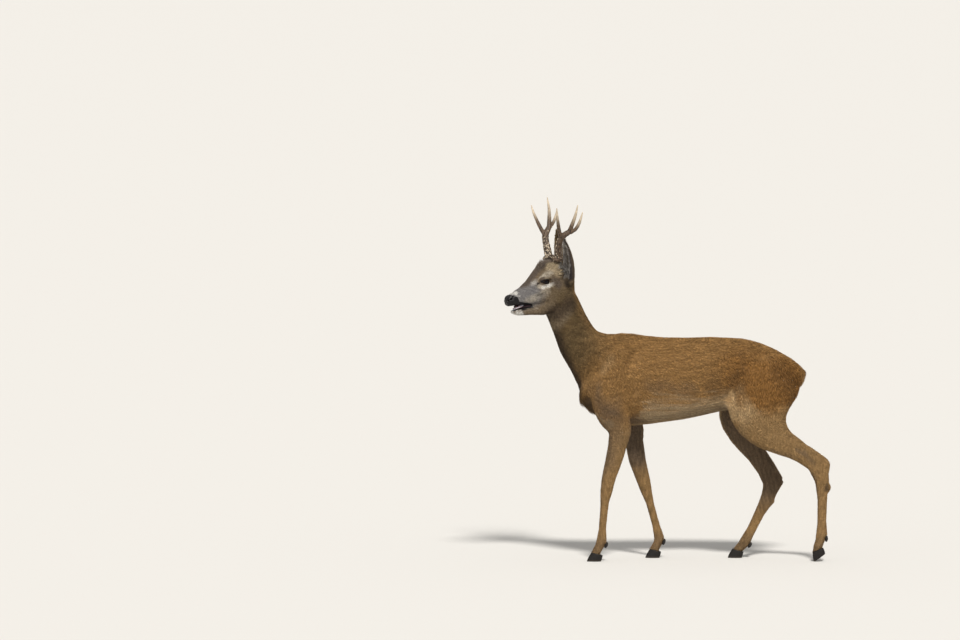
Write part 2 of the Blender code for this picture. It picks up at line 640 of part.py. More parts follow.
def eye_opening(side):
    """An almond-shaped plug that opens the lids down to the eyeball."""
    lateral = SIDES[side]
    half_length, half_height = EYE_OPENING
    outline = []
    count = 14
    for k in range(count):
        turn = 2.0 * math.pi * k / count
        across = math.cos(turn)
        along = math.copysign(abs(math.sin(turn)) ** 1.25, math.sin(turn))
        outline.append((across * half_length, along * half_height))
    rings = []
    for out, flare in ((0.006, 1.0), (0.030, 1.5)):
        ring = [head_frame() @ Vector((EYE_CENTRE.x + a * flare, -lateral * (EYE_CENTRE.y + out),
                                       EYE_CENTRE.z + b * flare + LID_SLANT * a)) for a, b in outline]
        rings.append(ring)
    return new_object("opening", skinned(rings, "opening"))


def ear(side):
    """A leaf-shaped cup, rolled at the root and open to the front."""
    lateral = SIDES[side]
    root = head_place(EAR_ROOT, lateral)
    tip = EAR_TIP[side]
    axis = (tip - root).normalized()
    forward = Vector((-math.cos(HEAD_YAW), -math.sin(HEAD_YAW), 0.0))
    outward = Vector((math.sin(HEAD_YAW), -math.cos(HEAD_YAW), 0.0)) * -lateral
    opening = forward + outward * EAR_TURN
    opening = (opening - axis * opening.dot(axis)).normalized()
    across = axis.cross(opening)
    length = (tip - root).length
    shape = bmesh.new()
    columns = 7
    grid = []
    for t, width, curl_degrees in EAR_LEAF:
        curl = math.radians(curl_degrees)
        radius = width / (2.0 * math.sin(min(curl, math.pi) / 2.0))
        back = root + axis * (length * t) - opening * (0.012 + 0.010 * math.sin(math.pi * t))
        row = []
        for c in range(columns):
            turn = (c / (columns - 1) - 0.5) * curl
            row.append(shape.verts.new(back + opening * radius * (1.0 - math.cos(turn))
                                       + across * radius * math.sin(turn)))
        grid.append(row)
    for low, high in zip(grid, grid[1:]):
        for c in range(columns - 1):
            shape.faces.new((low[c], low[c + 1], high[c + 1], high[c]))
    mesh = bpy.data.meshes.new("ear_" + side)
    shape.to_mesh(mesh)
    shape.free()
    made = new_object("ear_" + side, mesh)
    wall = made.modifiers.new("wall", "SOLIDIFY")
    wall.thickness = EAR_THICKNESS
    wall.offset = 0.0
    bake(made)
    triangulate(made)
    return made


def antler_point(lateral, row):
    forward = Vector((-math.cos(HEAD_YAW), -math.sin(HEAD_YAW), 0.0))
    outward = Vector((math.sin(HEAD_YAW), -math.cos(HEAD_YAW), 0.0)) * -lateral
    return (BURR_MIDDLE + outward * (BURR_SPACING + row[1]) + forward * row[0]
            + Vector((0, 0, 1)) * row[2])


def horn_tube(name, points, radii, count=8):
    rings = []
    for k, point in enumerate(points):
        ahead = (points[min(k + 1, len(points) - 1)] - points[max(k - 1, 0)]).normalized()
        if k == 0:
            side = ahead.orthogonal().normalized()
        side = (side - ahead * side.dot(ahead)).normalized()
        up = ahead.cross(side)
        turns = [2.0 * math.pi * j / count for j in range(count)]
        rings.append([point + (side * math.cos(turn) + up * math.sin(turn)) * radii[k] for turn in turns])
    return new_object(name, skinned(rings, name))


def antler(side):
    """The beam with its burr, and three tines cut to meet it."""
    lateral = SIDES[side]
    pieces = {}
    for name, rows in ANTLER[side].items():
        line = spline(rows, 2)
        points = [antler_point(lateral, row) for row in line]
        pieces[name] = horn_tube("antler_%s_%s" % (side, name), points, [row[3] for row in line],
                                 8 if name == "beam" else 6)
    base = [antler_point(lateral, row) for row in spline(ANTLER[side]["beam"], 2)]
    axis = (base[1] - base[0]).normalized()
    burr = horn_tube("burr", [base[0] + axis * up for up, _ in BURR_PROFILE],
                     [BURR_RADIUS * share for _, share in BURR_PROFILE], 12)
    boolean(pieces["beam"], burr, "UNION")
    discard(burr)
    carve(pieces["top_tine"], [pieces["beam"]])
    carve(pieces["front_tine"], [pieces["beam"]])
    carve(pieces["rear_tine"], [pieces["beam"], pieces["top_tine"]])
    return list(pieces.values())


def toe_pivot():
    return Vector((CLAW_PIVOT - CLAW_TOE * CLAW_LENGTH, 0, 0))


def claw(name, foot, inner):
    """One half of a cloven hoof, flat below and cut square at the coronet."""
    place_x, place_y, turned = FEET[foot]
    middle = place_y + inner * CLAW_SPACING
    rings = []
    count = 12
    for level, long_share, wide_share in CLAW_LEVELS:
        ring = []
        for k in range(count):
            angle = 2.0 * math.pi * k / count
            along, across = math.cos(angle), math.sin(angle)
            narrowing = 1.0 - CLAW_TAPER * max(along, 0.0) ** 1.5
            reach = CLAW_LENGTH * (CLAW_TOE if along > 0 else 1.0 - CLAW_TOE) * long_share
            height = CLAW_HEIGHT + (HEEL_HEIGHT - CLAW_HEIGHT) * (0.5 - 0.5 * along)
            ring.append(Vector((CLAW_LEAN * level - along * reach,
                                across * CLAW_WIDTH / 2 * wide_share * narrowing, height * level)))
        rings.append(ring)
    made = new_object(name, skinned(rings, name))
    pivot = toe_pivot()
    roll = (Matrix.Translation(pivot) @ Matrix.Rotation(math.radians(-turned), 4, "Y")
            @ Matrix.Translation(-pivot))
    made.data.transform(Matrix.Translation((place_x, middle, 0)) @ roll)
    if turned:
        lowest = min(vert.co.z for vert in made.data.vertices)
        made.data.transform(Matrix.Translation((0, 0, -lowest - FLAT_AT_TOE)))
        ground = half_space((0, 0, 0), (0, 0, -1))
        boolean(made, ground, "DIFFERENCE")
        discard(ground)
    return made


def coronet_block(foot):
    """A block whose upper face lies on the claws' tops, to end the flesh there."""
    place_x, place_y, turned = FEET[foot]
    slope = Vector((CLAW_HEIGHT - HEEL_HEIGHT, 0, CLAW_LENGTH * CLAW_LEVELS[-1][1])).normalized()
    pivot = toe_pivot()
    roll = Matrix.Rotation(math.radians(-turned), 3, "Y")
    top = Vector((CLAW_LEAN, 0, (CLAW_HEIGHT + HEEL_HEIGHT) / 2))
    spot = roll @ (top - pivot) + pivot
    normal = roll @ slope
    if turned:
        toe = Vector((-CLAW_TOE * CLAW_LENGTH, 0, 0))
        spot.z -= (roll @ (toe - pivot) + pivot).z + FLAT_AT_TOE
    point = Vector((place_x, place_y, 0)) + spot + normal * GAP
    return half_space(point, -normal)


def dewclaw(name, foot, inner):
    x, z, lean = DEWCLAWS[foot]
    place = (Matrix.Translation((x, FEET[foot][1] + inner * DEWCLAW_SPACING, z))
             @ Matrix.Rotation(math.radians(lean), 4, "Y"))
    return ball(name, (0, 0, 0), DEWCLAW_HALF_SIZES, place, 4)


# ---------------------------------------------------------------- the buck
def plane_through(a, b, towards):
    """Point and normal of a plane across the body, through two side-view points."""
    a, b = Vector((a[0], 0, a[1])), Vector((b[0], 0, b[1]))
    along = (b - a).normalized()
    normal = along.cross(Vector((0, 1, 0)))
    if normal.dot(Vector((towards[0], 0, towards[1])) - a) < 0:
        normal = -normal
    return a, normal


def side_block(low, high, lateral):
    """A block given for the positive side, on either side of the middle plane."""
    near, far = sorted((lateral * low[1], lateral * high[1]))
    return box_between((low[0], near, low[2]), (high[0], far, high[2]))


def across_leg(cut):
    (x, z), (normal_x, normal_z) = cut
    return half_space((x, 0, z), (normal_x, 0, normal_z))


def parted_flesh(flesh):
    """The flesh cut into its nodes."""
    nodes = {"trunk": flesh}
    nodes["head"] = part_off(flesh, half_space(*plane_through(*HEAD_CUT, (-0.5, 0.85))), "head")
    nodes["neck"] = part_off(flesh, half_space(*plane_through(*NECK_CUT, (-0.4, 0.7))), "neck")
    for side, lateral in SIDES.items():
        upper = part_off(flesh, side_block(*FORELEG_BLOCK, lateral), "foreleg_%s_upper" % side)
        lower = part_off(upper, across_leg(WRIST_CUT[side]), "foreleg_%s_lower" % side)
        nodes[upper.name], nodes[lower.name] = upper, lower
    for side, lateral in SIDES.items():
        block = half_space(*plane_through(*THIGH_CUT, (0.3, 0.0)))
        limit = side_block(*THIGH_BLOCK, lateral)
        boolean(block, limit, "INTERSECT")
        discard(limit)
        thigh = part_off(flesh, block, "hindleg_%s_thigh" % side)
        below_stifle = half_space(*plane_through(*STIFLE_CUT[side], (0.4, 0.2)))
        shank = part_off(thigh, below_stifle, "hindleg_%s_shank" % side)
        lower = part_off(shank, across_leg(HOCK_CUT[side]), "hindleg_%s_lower" % side)
        nodes[thigh.name], nodes[shank.name], nodes[lower.name] = thigh, shank, lower
    return nodes


def jaw_block():
    """A block under the line from the angle of the jaw through the mouth's corner, in the world."""
    angle, corner, front = [Vector((x, 0, z)) for x, z in JAW_CUT]
    outline = [angle, corner, front, Vector((front.x, 0, JAW_DEPTH)), Vector((angle.x, 0, JAW_DEPTH))]
    rings = [[head_frame() @ Vector((p.x, y, p.z)) for p in outline] for y in (-JAW_REACH, JAW_REACH)]
    return new_object("jaw_block", skinned(rings, "jaw_block"))


def build():
    clear_scene()
    flesh = fused_flesh()
    thin_out(flesh)
    nodes = parted_flesh(flesh)
    nodes["lower_jaw"] = part_off(nodes["head"], jaw_block(), "lower_jaw")
    kinds = {name: "coat" for name in nodes}
    kinds.update({"head": "face", "lower_jaw": "face"})
    kinds.update({name: "leg" for name in nodes if name.endswith("_lower") or name.endswith("_shank")})

    frame = head_frame()
    nodes["tongue"] = ball("tongue", TONGUE[0], TONGUE[1], frame, 5)
    kinds["tongue"] = "tongue"
    carve(nodes["lower_jaw"], [nodes["tongue"]])
    carve(nodes["head"], [nodes["tongue"]])
    nodes["tail"] = ball("tail", TAIL[0], TAIL[1], Matrix(), 5)
    kinds["tail"] = "coat"
    carve(nodes["trunk"], [nodes["tail"]])

    for side in SIDES:
        nodes["eye_" + side] = eye(side)
        kinds["eye_" + side] = "eye"
        opening = eye_opening(side)
        boolean(nodes["head"], opening, "DIFFERENCE")
        discard(opening)
        carve(nodes["head"], [nodes["eye_" + side]])
        nodes["ear_" + side] = ear(side)
        kinds["ear_" + side] = "ear"
        carve(nodes["head"], [nodes["ear_" + side]])
        for piece in antler(side):
            nodes[piece.name] = piece
            kinds[piece.name] = "antler"
        carve(nodes["head"], [nodes["antler_%s_beam" % side]])

    for foot in FEET:
        end, side = foot.split("_")
        leg = nodes["%sleg_%s_lower" % (end, side)]
        ending = coronet_block(foot)
        boolean(leg, ending, "DIFFERENCE")
        discard(ending)
        for label, inner in (("inner", -SIDES[side]), ("outer", SIDES[side])):
            name = "hoof_%s_%s" % (foot, label)
            nodes[name] = claw(name, foot, inner)
            kinds[name] = "horn"
            name = "dewclaw_%s_%s" % (foot, label)
            nodes[name] = dewclaw(name, foot, inner)
            kinds[name] = "horn"
            carve(leg, [nodes[name]])

    for name, piece in nodes.items():
        keep_largest(piece)
        piece.name = name
        piece.data.name = name
        piece.data.materials.clear()
        piece.data.materials.append(material(kinds[name]))
        piece.data.shade_smooth()
        piece.data.set_sharp_from_angle(angle=math.radians(SHARP_EDGE))
    stand_on_origin(nodes.values())


def stand_on_origin(pieces):
    """Moves the whole buck so that the middle of its footprint's box is the origin."""
    places = [vert.co for piece in pieces for vert in piece.data.vertices]
    low = Vector([min(place[k] for place in places) for k in range(3)])
    high = Vector([max(place[k] for place in places) for k in range(3)])
    shift = Vector((-(low.x + high.x) / 2, -(low.y + high.y) / 2, -low.z))
    for piece in pieces:
        piece.data.transform(Matrix.Translation(shift))
    print("shift", tuple(shift), "size", tuple(high - low))


build()
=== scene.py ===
"""A roe buck in its summer coat: one skin over the flesh, a coat of tufts that lie as the real hair
does, eyes with their lids, pearled antlers, hooves, and a plain pale studio.

Metres, +Z up.  The buck faces -X and its left side is -Y.
"""

import json
import math

import bpy
import numpy as np
from mathutils import Matrix, Vector
from mathutils.bvhtree import BVHTree

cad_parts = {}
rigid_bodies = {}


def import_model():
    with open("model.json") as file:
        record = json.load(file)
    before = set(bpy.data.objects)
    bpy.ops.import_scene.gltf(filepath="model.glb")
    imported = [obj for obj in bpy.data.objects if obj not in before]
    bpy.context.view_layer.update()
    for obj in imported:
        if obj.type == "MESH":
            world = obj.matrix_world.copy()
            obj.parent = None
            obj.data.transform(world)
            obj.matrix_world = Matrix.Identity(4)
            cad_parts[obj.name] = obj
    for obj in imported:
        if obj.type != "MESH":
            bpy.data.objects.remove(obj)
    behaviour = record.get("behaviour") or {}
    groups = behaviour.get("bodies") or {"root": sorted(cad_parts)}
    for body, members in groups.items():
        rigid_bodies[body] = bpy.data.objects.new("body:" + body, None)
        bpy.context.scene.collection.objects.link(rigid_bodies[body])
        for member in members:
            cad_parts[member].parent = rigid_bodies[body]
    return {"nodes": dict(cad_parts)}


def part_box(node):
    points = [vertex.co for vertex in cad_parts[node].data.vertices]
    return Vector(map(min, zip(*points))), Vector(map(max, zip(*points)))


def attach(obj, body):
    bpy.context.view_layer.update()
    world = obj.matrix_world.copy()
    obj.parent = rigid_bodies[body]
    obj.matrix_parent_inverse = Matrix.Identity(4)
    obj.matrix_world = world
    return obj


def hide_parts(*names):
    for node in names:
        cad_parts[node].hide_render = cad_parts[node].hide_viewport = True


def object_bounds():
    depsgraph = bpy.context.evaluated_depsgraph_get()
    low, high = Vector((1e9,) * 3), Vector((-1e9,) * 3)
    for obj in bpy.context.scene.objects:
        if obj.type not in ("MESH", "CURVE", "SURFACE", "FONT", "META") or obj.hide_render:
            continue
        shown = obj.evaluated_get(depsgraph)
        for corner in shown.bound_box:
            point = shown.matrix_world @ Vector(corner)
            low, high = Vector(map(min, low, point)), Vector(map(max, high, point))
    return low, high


bl_info = {
    "name": "Roe Buck",
    "version": (1, 0, 0),
    "blender": (4, 5, 0),
    "location": "3D View > Sidebar > Roe Buck",
    "description": "Skin, coat, eyes, antlers and hooves of a walking roe buck",
    "category": "Add Mesh",
}

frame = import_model()
CAD_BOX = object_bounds()

# ---------------------------------------------------------------- places on the buck
SIDES = {"left": -1.0, "right": 1.0}
FEET = ("fore_left", "fore_right", "hind_left", "hind_right")
MIDDLE_Y = 0.0045                            # the plane that halves the trunk
HEAD_PIVOT = Vector((-0.3150, MIDDLE_Y, 0.893))
HEAD_YAW = math.radians(24.5)
HEAD_PITCH = math.radians(21.2)
FLESH = ["head", "lower_jaw", "neck", "trunk", "tail", "ear_left", "ear_right"] + [
    node for side in SIDES for node in (
        "foreleg_%s_upper" % side, "foreleg_%s_lower" % side, "hindleg_%s_thigh" % side,
        "hindleg_%s_shank" % side, "hindleg_%s_lower" % side)]

# Skin
SAME_PLACE = 0.00001             # corners nearer than this are one
FUSE = 0.0006                    # swelling that closes the cuts between the flesh nodes
SKIN_CELL = 0.0019
SKIN_ROUNDS = 110                # of smoothing where the skin is softest
FINE_FRONT = 0.142               # the face is finer in front of this, forward on the head
SKIN_TRIANGLES = 178000
SKIN_SHADE = 0.8                 # its colour against the hair's over it
DRY, MOIST = 0.72, 0.42          # roughness of haired and of bare skin

# Eyes and mouth
LID_OPENING = (0.0134, 0.0076)   # half length and half height between the lids
LID_SLANT = 0.28                 # rise of the opening towards the nose, per length
LID_BACK = 0.0012                # its middle lies this far behind the eyeball's
LID_THICKNESS = 0.0016
UNDER_BALL = 0.0020              # how deep the skin lies under the eyeball between the lids
CORNEA = 0.035                   # its bulge, against the eyeball's radius
RIM_THICKNESS = 0.0013           # of the wet edge of a lid
RIM_MIDDLE = 0.0009              # off the eyeball
MOUTH_MIDDLE = (0.174, -0.0466)  # forward and up on the head

# Antlers, hooves and tongue: mesh cells, pearls and growth rings
ANTLER_CELL = 0.0010
HORN_CELL = 0.0009
TONGUE_CELL = 0.0007
PEARLS = 210                     # on each antler
PEARL_RADIUS = (0.0014, 0.0027)
FURROW_DEPTH = 0.0007            # along the beams
ROSETTE_HEIGHT = 0.0008          # of the knobs on the burr
RING_GAP = 0.0029
RING_HEIGHT = 0.00009

# Small colours without a setting
IRIS = (0.016, 0.009, 0.005)
PUPIL = (0.002, 0.002, 0.003)
EYE_EDGE = (0.003, 0.002, 0.002)
LID_EDGE = (0.007, 0.006, 0.006)
WORN_HORN = (0.10, 0.08, 0.06)
MOUTH_FRONT = (0.030, 0.016, 0.020)
MOUTH_REAR = (0.10, 0.055, 0.065)

# Studio
CAMERA_RISE = math.radians(4.0)
CAMERA_DISTANCE = 30.0

# How the coat runs: places x, |y|, z along the body, in the order the hair lies, with its length
BODY_RUNS = [
    [(-0.31, 0.0, 0.86, 0.009), (-0.265, 0.0, 0.76, 0.014), (-0.215, 0.0, 0.67, 0.016),
     (-0.1, 0.0, 0.61, 0.016), (0.1, 0.0, 0.61, 0.016), (0.3, 0.0, 0.61, 0.017),
     (0.395, 0.0, 0.55, 0.017), (0.385, 0.0, 0.47, 0.013)],
    [(-0.375, 0.0, 0.8, 0.008), (-0.335, 0.0, 0.68, 0.012), (-0.285, 0.0, 0.56, 0.014),
     (-0.2, 0.0, 0.46, 0.013), (-0.05, 0.0, 0.44, 0.012), (0.12, 0.0, 0.47, 0.012),
     (0.22, 0.0, 0.49, 0.01)],
]
SIDE_RUNS = {
    "left": [
        [(-0.165, 0.055, 0.52, 0.014), (-0.15, 0.066, 0.42, 0.01), (-0.175, 0.066, 0.27, 0.0065),
         (-0.2, 0.061, 0.1, 0.006), (-0.222, 0.058, 0.03, 0.005)],
        [(0.29, 0.055, 0.58, 0.016), (0.275, 0.062, 0.46, 0.014), (0.341, 0.062, 0.375, 0.009),
         (0.455, 0.062, 0.3, 0.0065), (0.474, 0.062, 0.2, 0.0065), (0.474, 0.06, 0.1, 0.006),
         (0.463, 0.06, 0.03, 0.005)]],
    "right": [
        [(-0.16, 0.055, 0.52, 0.014), (-0.112, 0.066, 0.41, 0.01), (-0.08, 0.066, 0.26, 0.0065),
         (-0.036, 0.061, 0.1, 0.006), (-0.045, 0.058, 0.03, 0.005)],
        [(0.28, 0.055, 0.58, 0.016), (0.235, 0.062, 0.46, 0.014), (0.244, 0.062, 0.36, 0.009),
         (0.315, 0.062, 0.255, 0.0065), (0.304, 0.062, 0.17, 0.0065), (0.255, 0.06, 0.08, 0.006),
         (0.215, 0.06, 0.02, 0.005)]],
}
# The same on the head, in its own frame: forward, out, up
HEAD_RUNS = [
    [(0.216, 0.0, -0.012, 0.0022), (0.16, 0.0, -0.01, 0.0034), (0.09, 0.0, 0.000, 0.0046),
     (0.03, 0.0, 0.000, 0.0075), (-0.015, 0.0, -0.025, 0.009)],
    [(0.205, 0.0, -0.055, 0.0032), (0.14, 0.0, -0.072, 0.0042), (0.07, 0.0, -0.078, 0.006),
     (0.03, 0.0, -0.07, 0.008)],
    [(0.05, 0.022, 0.045, 0.008), (0.022, 0.036, 0.062, 0.007)],
]
EAR_ROOT = Vector((0.011, 0.038, -0.031))
EAR_HAIR = 0.0050
EAR_CUP = 0.005                          # from the ear's straight line to the middle of its cup

# Relief of the head, raised (+) or sunk (-) along soft strokes: start, end, radius, height
FACE_STROKES = [
    ((0.2135, 0.0110, -0.0110), (0.2065, 0.0140, -0.0085), 0.0027, -0.0050),   # nostril
    ((0.2065, 0.0140, -0.0085), (0.1950, 0.0150, -0.0010), 0.0015, -0.0030),   # its slit
    ((0.2140, 0.0080, -0.0045), (0.2020, 0.0135, 0.0015), 0.0030, 0.0016),     # wing above it
    ((0.2120, 0.0140, -0.0160), (0.2010, 0.0160, -0.0140), 0.0030, 0.0010),    # rim under it
    ((0.2230, 0.0000, -0.0120), (0.2200, 0.0000, -0.0260), 0.0011, -0.0012),   # groove of the lip
    ((0.1090, 0.0395, 0.0060), (0.1170, 0.0370, 0.0040), 0.0013, -0.0016),     # gland before the eye
    ((0.1160, 0.0400, 0.0060), (0.0880, 0.0470, 0.0165), 0.0055, 0.0016),      # brow
    ((0.1100, 0.0400, 0.0110), (0.0820, 0.0470, 0.0120), 0.0013, -0.0008),     # fold over the lid
    ((0.1080, 0.0420, -0.0115), (0.0830, 0.0470, -0.0090), 0.0013, -0.0008),   # fold under it
    ((0.1300, 0.0330, -0.0200), (0.0700, 0.0470, -0.0180), 0.0060, 0.0016),    # cheekbone
    ((0.0880, 0.0400, -0.0500), (0.0760, 0.0400, -0.0800), 0.0050, -0.0012),   # edge of the jaw muscle
    ((0.1500, 0.0250, -0.0400), (0.2000, 0.0200, -0.0250), 0.0040, 0.0008),    # upper lip
    ((0.1400, 0.0270, -0.0200), (0.1900, 0.0220, -0.0120), 0.0060, -0.0010),   # side of the muzzle
    ((0.1450, 0.0250, -0.0530), (0.1340, 0.0290, -0.0560), 0.0014, -0.0014),   # corner of the mouth
]
# those holes are painted nearly black inside as shade
NOSTRIL_STROKES = 2          # how many of them are holes, dark inside
# Relief of the body, at |y| from its middle plane; sinews and muscle edges
BODY_STROKES = [
    ((-0.165, 0.085, 0.665), (-0.205, 0.090, 0.560), 0.012, 0.0030),   # ridge of the shoulder blade
    ((-0.105, 0.095, 0.640), (-0.135, 0.098, 0.520), 0.018, -0.0030),  # hollow behind it
    ((-0.215, 0.085, 0.530), (-0.160, 0.100, 0.455), 0.014, 0.0028),   # upper arm
    ((-0.100, 0.100, 0.520), (-0.095, 0.095, 0.440), 0.014, -0.0030),  # behind the elbow
    ((0.135, 0.105, 0.620), (0.060, 0.105, 0.470), 0.016, 0.0018),     # last rib
    ((0.205, 0.095, 0.620), (0.175, 0.100, 0.500), 0.022, -0.0040),    # flank
    ((0.225, 0.060, 0.672), (0.250, 0.065, 0.660), 0.016, 0.0024),     # point of the hip
    ((0.200, 0.100, 0.570), (0.215, 0.100, 0.470), 0.014, 0.0030),     # front of the thigh
    ((0.310, 0.100, 0.560), (0.325, 0.100, 0.450), 0.012, -0.0026),    # groove of the thigh
    ((0.372, 0.080, 0.560), (0.365, 0.080, 0.470), 0.014, 0.0020),     # rear of the thigh
]
SIDE_STROKES = {
    "left": [
        ((-0.200, 0.068, 0.215), (-0.196, 0.068, 0.200), 0.008, 0.0012),   # knee
        ((-0.186, 0.075, 0.160), (-0.192, 0.074, 0.100), 0.0030, -0.0014),  # behind the cannon bone
        ((0.462, 0.078, 0.272), (0.478, 0.078, 0.290), 0.0060, -0.0022),   # hollow of the hock
        ((0.484, 0.076, 0.230), (0.482, 0.075, 0.120), 0.0030, -0.0014)],
    "right": [
        ((-0.072, 0.068, 0.212), (-0.068, 0.068, 0.198), 0.008, 0.0012),
        ((-0.043, 0.075, 0.158), (-0.030, 0.074, 0.100), 0.0030, -0.0014),
        ((0.316, 0.078, 0.226), (0.332, 0.078, 0.236), 0.0060, -0.0022),
        ((0.304, 0.076, 0.160), (0.266, 0.075, 0.090), 0.0030, -0.0014)],
}

# Dark tufts on the outside of the hind cannon bones: x, |y|, z of their tops
METATARSAL_TUFTS = {"left": (0.494, 0.078, 0.238), "right": (0.326, 0.078, 0.185)}

# Coat: piece, flesh it grows on, side of the trunk, number of tufts, how loosely it lies, finish
COATS = [
    ("coat_head", ("head", "lower_jaw"), 0, 33000, 0.10, "face"),
    ("coat_ears", ("ear_left", "ear_right"), 0, 22000, 0.14, "ear"),
    ("coat_neck", ("neck",), 0, 29000, 0.08, "coat"),
    ("coat_trunk_left", ("trunk",), -1, 33000, 0.07, "coat"),
    ("coat_trunk_right", ("trunk",), 1, 33000, 0.07, "coat"),
    ("coat_tail", ("tail",), 0, 500, 0.22, "coat"),
    ("coat_foreleg_left", ("foreleg_left_upper", "foreleg_left_lower"), 0, 17000, 0.09, "leg"),
    ("coat_foreleg_right", ("foreleg_right_upper", "foreleg_right_lower"), 0, 17000, 0.09, "leg"),
    ("coat_hindleg_left",
     ("hindleg_left_thigh", "hindleg_left_shank", "hindleg_left_lower"), 0, 27000, 0.10, "leg"),
    ("coat_hindleg_right",
     ("hindleg_right_thigh", "hindleg_right_shank", "hindleg_right_lower"), 0, 27000, 0.10, "leg"),
]
# Where whiskers grow: forward, out, up on the head
WHISKERS = [(0.192, 0.016, -0.022), (0.180, 0.019, -0.026), (0.168, 0.022, -0.030), (0.196, 0.009, -0.066)]
WHISKERS_EACH = 7            # at each of those places
WHISKER_LENGTH = (0.016, 0.030)
LASHES = 26                  # on each upper lid
LASH_LENGTH = (0.005, 0.0085)
LASH_LINE = 1.18             # how far out they grow, against the opening
HAIR_THICK = 0.00045         # width of a whisker or lash
LENGTHS = (0.70, 1.25)       # of tufts, against the coat's length at their place
HEIGHTS = (0.55, 1.15)       # of their tips, against its depth
WIDTHS = (0.7, 1.3)
PALE_TIPS, PALER = 0.10, 0.16    # share of tufts with paler tips, and how much paler
LONG_IN_EAR = 0.35           # share of the hairs in an ear that are long
SINK = 0.0006                # how deep a root sits in the skin
NO_TUFTS = 0.35              # bareness above which nothing grows
WIDEST = 0.45                # share of a tuft's length where it is widest
TUFT_FACES = np.array([(0, 3, 1), (0, 2, 3), (0, 1, 2), (4, 1, 3), (4, 3, 2), (4, 2, 1)])
BAKE_PATCH = 0.0015          # half the width of a tuft's patch on the unwrap


# ---------------------------------------------------------------- settings
def colour_setting(name, description, default):
    """A colour that the user can change."""
    return bpy.props.FloatVectorProperty(
        name=name, description=description, default=default, subtype="COLOR", size=3, min=0.0, max=1.0)


class BuckColours(bpy.types.PropertyGroup):
    back: colour_setting("Back", "Red-brown of the back and sides", (0.328, 0.184, 0.068))
    thigh: colour_setting("Thigh", "Deeper brown of the rump and thighs", (0.268, 0.126, 0.033))
    belly: colour_setting("Belly", "Pale buff under the body", (0.46, 0.34, 0.205))
    neck: colour_setting("Neck", "Olive brown of the neck", (0.138, 0.096, 0.048))
    # Its dark brown is partly painted shade: it deepens the throat and paints shade under the jaw, on the
    # chest and in the hollows of the flank and thigh
    throat: colour_setting("Throat", "Dark brown down the front of the neck", (0.060, 0.041, 0.027))
    leg: colour_setting("Legs", "Ochre of the legs", (0.345, 0.215, 0.094))
    # Painted shade: laid on the legs' inner sides, fronts and feet, under the belly, along the low flank
    # and on the upper arm
    painted_shade: colour_setting("Leg shade", "Shaded fronts and inner sides of the legs", (0.138, 0.099, 0.068))
    # Also laid as a painted highlight along the shoulder blade
    rump: colour_setting("Rump patch", "Buff patch round the tail", (0.52, 0.36, 0.19))
    face: colour_setting("Face", "Grey-brown of the cheeks", (0.198, 0.148, 0.094))
    muzzle: colour_setting("Muzzle", "Cool grey of the muzzle", (0.212, 0.202, 0.200))
    forehead: colour_setting("Forehead", "Dark brown between eyes and antlers", (0.120, 0.094, 0.076))
    temple: colour_setting("Temple", "Tan between eye and antler", (0.440, 0.352, 0.232))
    pale: colour_setting("Pale marks", "Cream round the eyes and behind the mouth", (0.52, 0.46, 0.37))
    white: colour_setting("White marks", "Spot over the nose, lower lip and chin", (0.80, 0.78, 0.74))
    dark: colour_setting("Dark marks", "Near black of ear edges and leg tufts", (0.030, 0.022, 0.020))
    bare: colour_setting("Nose and lips", "Bare black skin", (0.009, 0.008, 0.009))
    ear: colour_setting("Ear", "Back of the ears", (0.046, 0.037, 0.039))
    ear_hair: colour_setting("Ear hair", "Long pale hair inside the ears", (0.70, 0.67, 0.64))


class BuckCoat(bpy.types.PropertyGroup):
    length: bpy.props.FloatProperty(
        name="Length", description="Hair length against that of a summer coat", default=1.0, min=0.3,
        max=3.0)
    fullness: bpy.props.FloatProperty(
        name="Fullness", description="Share of the tufts that are grown", default=1.0, min=0.02, max=1.0,
        subtype="FACTOR")
    variety: bpy.props.FloatProperty(
        name="Variety", description="How much tufts differ in lightness", default=0.17, min=0.0, max=1.0)


class BuckHorn(bpy.types.PropertyGroup):
    pearling: bpy.props.FloatProperty(
        name="Pearling", description="Height of the pearls on the antlers", default=0.0017, unit="LENGTH")
    bone: colour_setting("Antler", "Brown of the beams", (0.100, 0.062, 0.036))
    tip: colour_setting("Tips", "Polished ends of the tines", (0.60, 0.50, 0.37))
    hoof: colour_setting("Hoof", "Black of the hooves", (0.012, 0.010, 0.009))
    tongue: colour_setting("Tongue", "Dull pink of the tongue", (0.40, 0.325, 0.365))


class BuckStudio(bpy.types.PropertyGroup):
    floor: colour_setting("Floor", "Pale studio floor", (0.74, 0.73, 0.71))
    key: bpy.props.FloatProperty(name="Key light", description="Strength of the large lamp", default=3.45)
    fill: bpy.props.FloatProperty(name="Fill", description="Strength of the light all round", default=0.42)


SETTINGS = {"buck_colours": BuckColours, "buck_coat": BuckCoat, "buck_horn": BuckHorn,
            "buck_studio": BuckStudio}


# ---------------------------------------------------------------- small helpers
def activate(piece):
    """Selects one piece alone."""
    bpy.ops.object.select_all(action="DESELECT")
    piece.select_set(True)
    bpy.context.view_layer.objects.active = piece


def finish_with(piece, kind, **settings):
    """Adds one modifier to a piece and applies it."""
    activate(piece)
    modifier = piece.modifiers.new(kind.lower(), kind)
    for name, value in settings.items():
        setattr(modifier, name, value)
    bpy.ops.object.modifier_apply(modifier=modifier.name)


def in_edit_mode(piece, step, **settings):
    """Runs one mesh operator on the whole of a piece."""
    activate(piece)
    bpy.ops.object.mode_set(mode="EDIT")
    bpy.ops.mesh.select_all(action="SELECT")
    step(**settings)
    bpy.ops.object.mode_set(mode="OBJECT")


def outward(piece):
    """Turns a closed piece's faces outward."""
    in_edit_mode(piece, bpy.ops.mesh.normals_make_consistent, inside=False)


def linked(name, data):
    """A new object with this data in the scene."""
    made = bpy.data.objects.new(name, data)
    bpy.context.collection.objects.link(made)
    return made


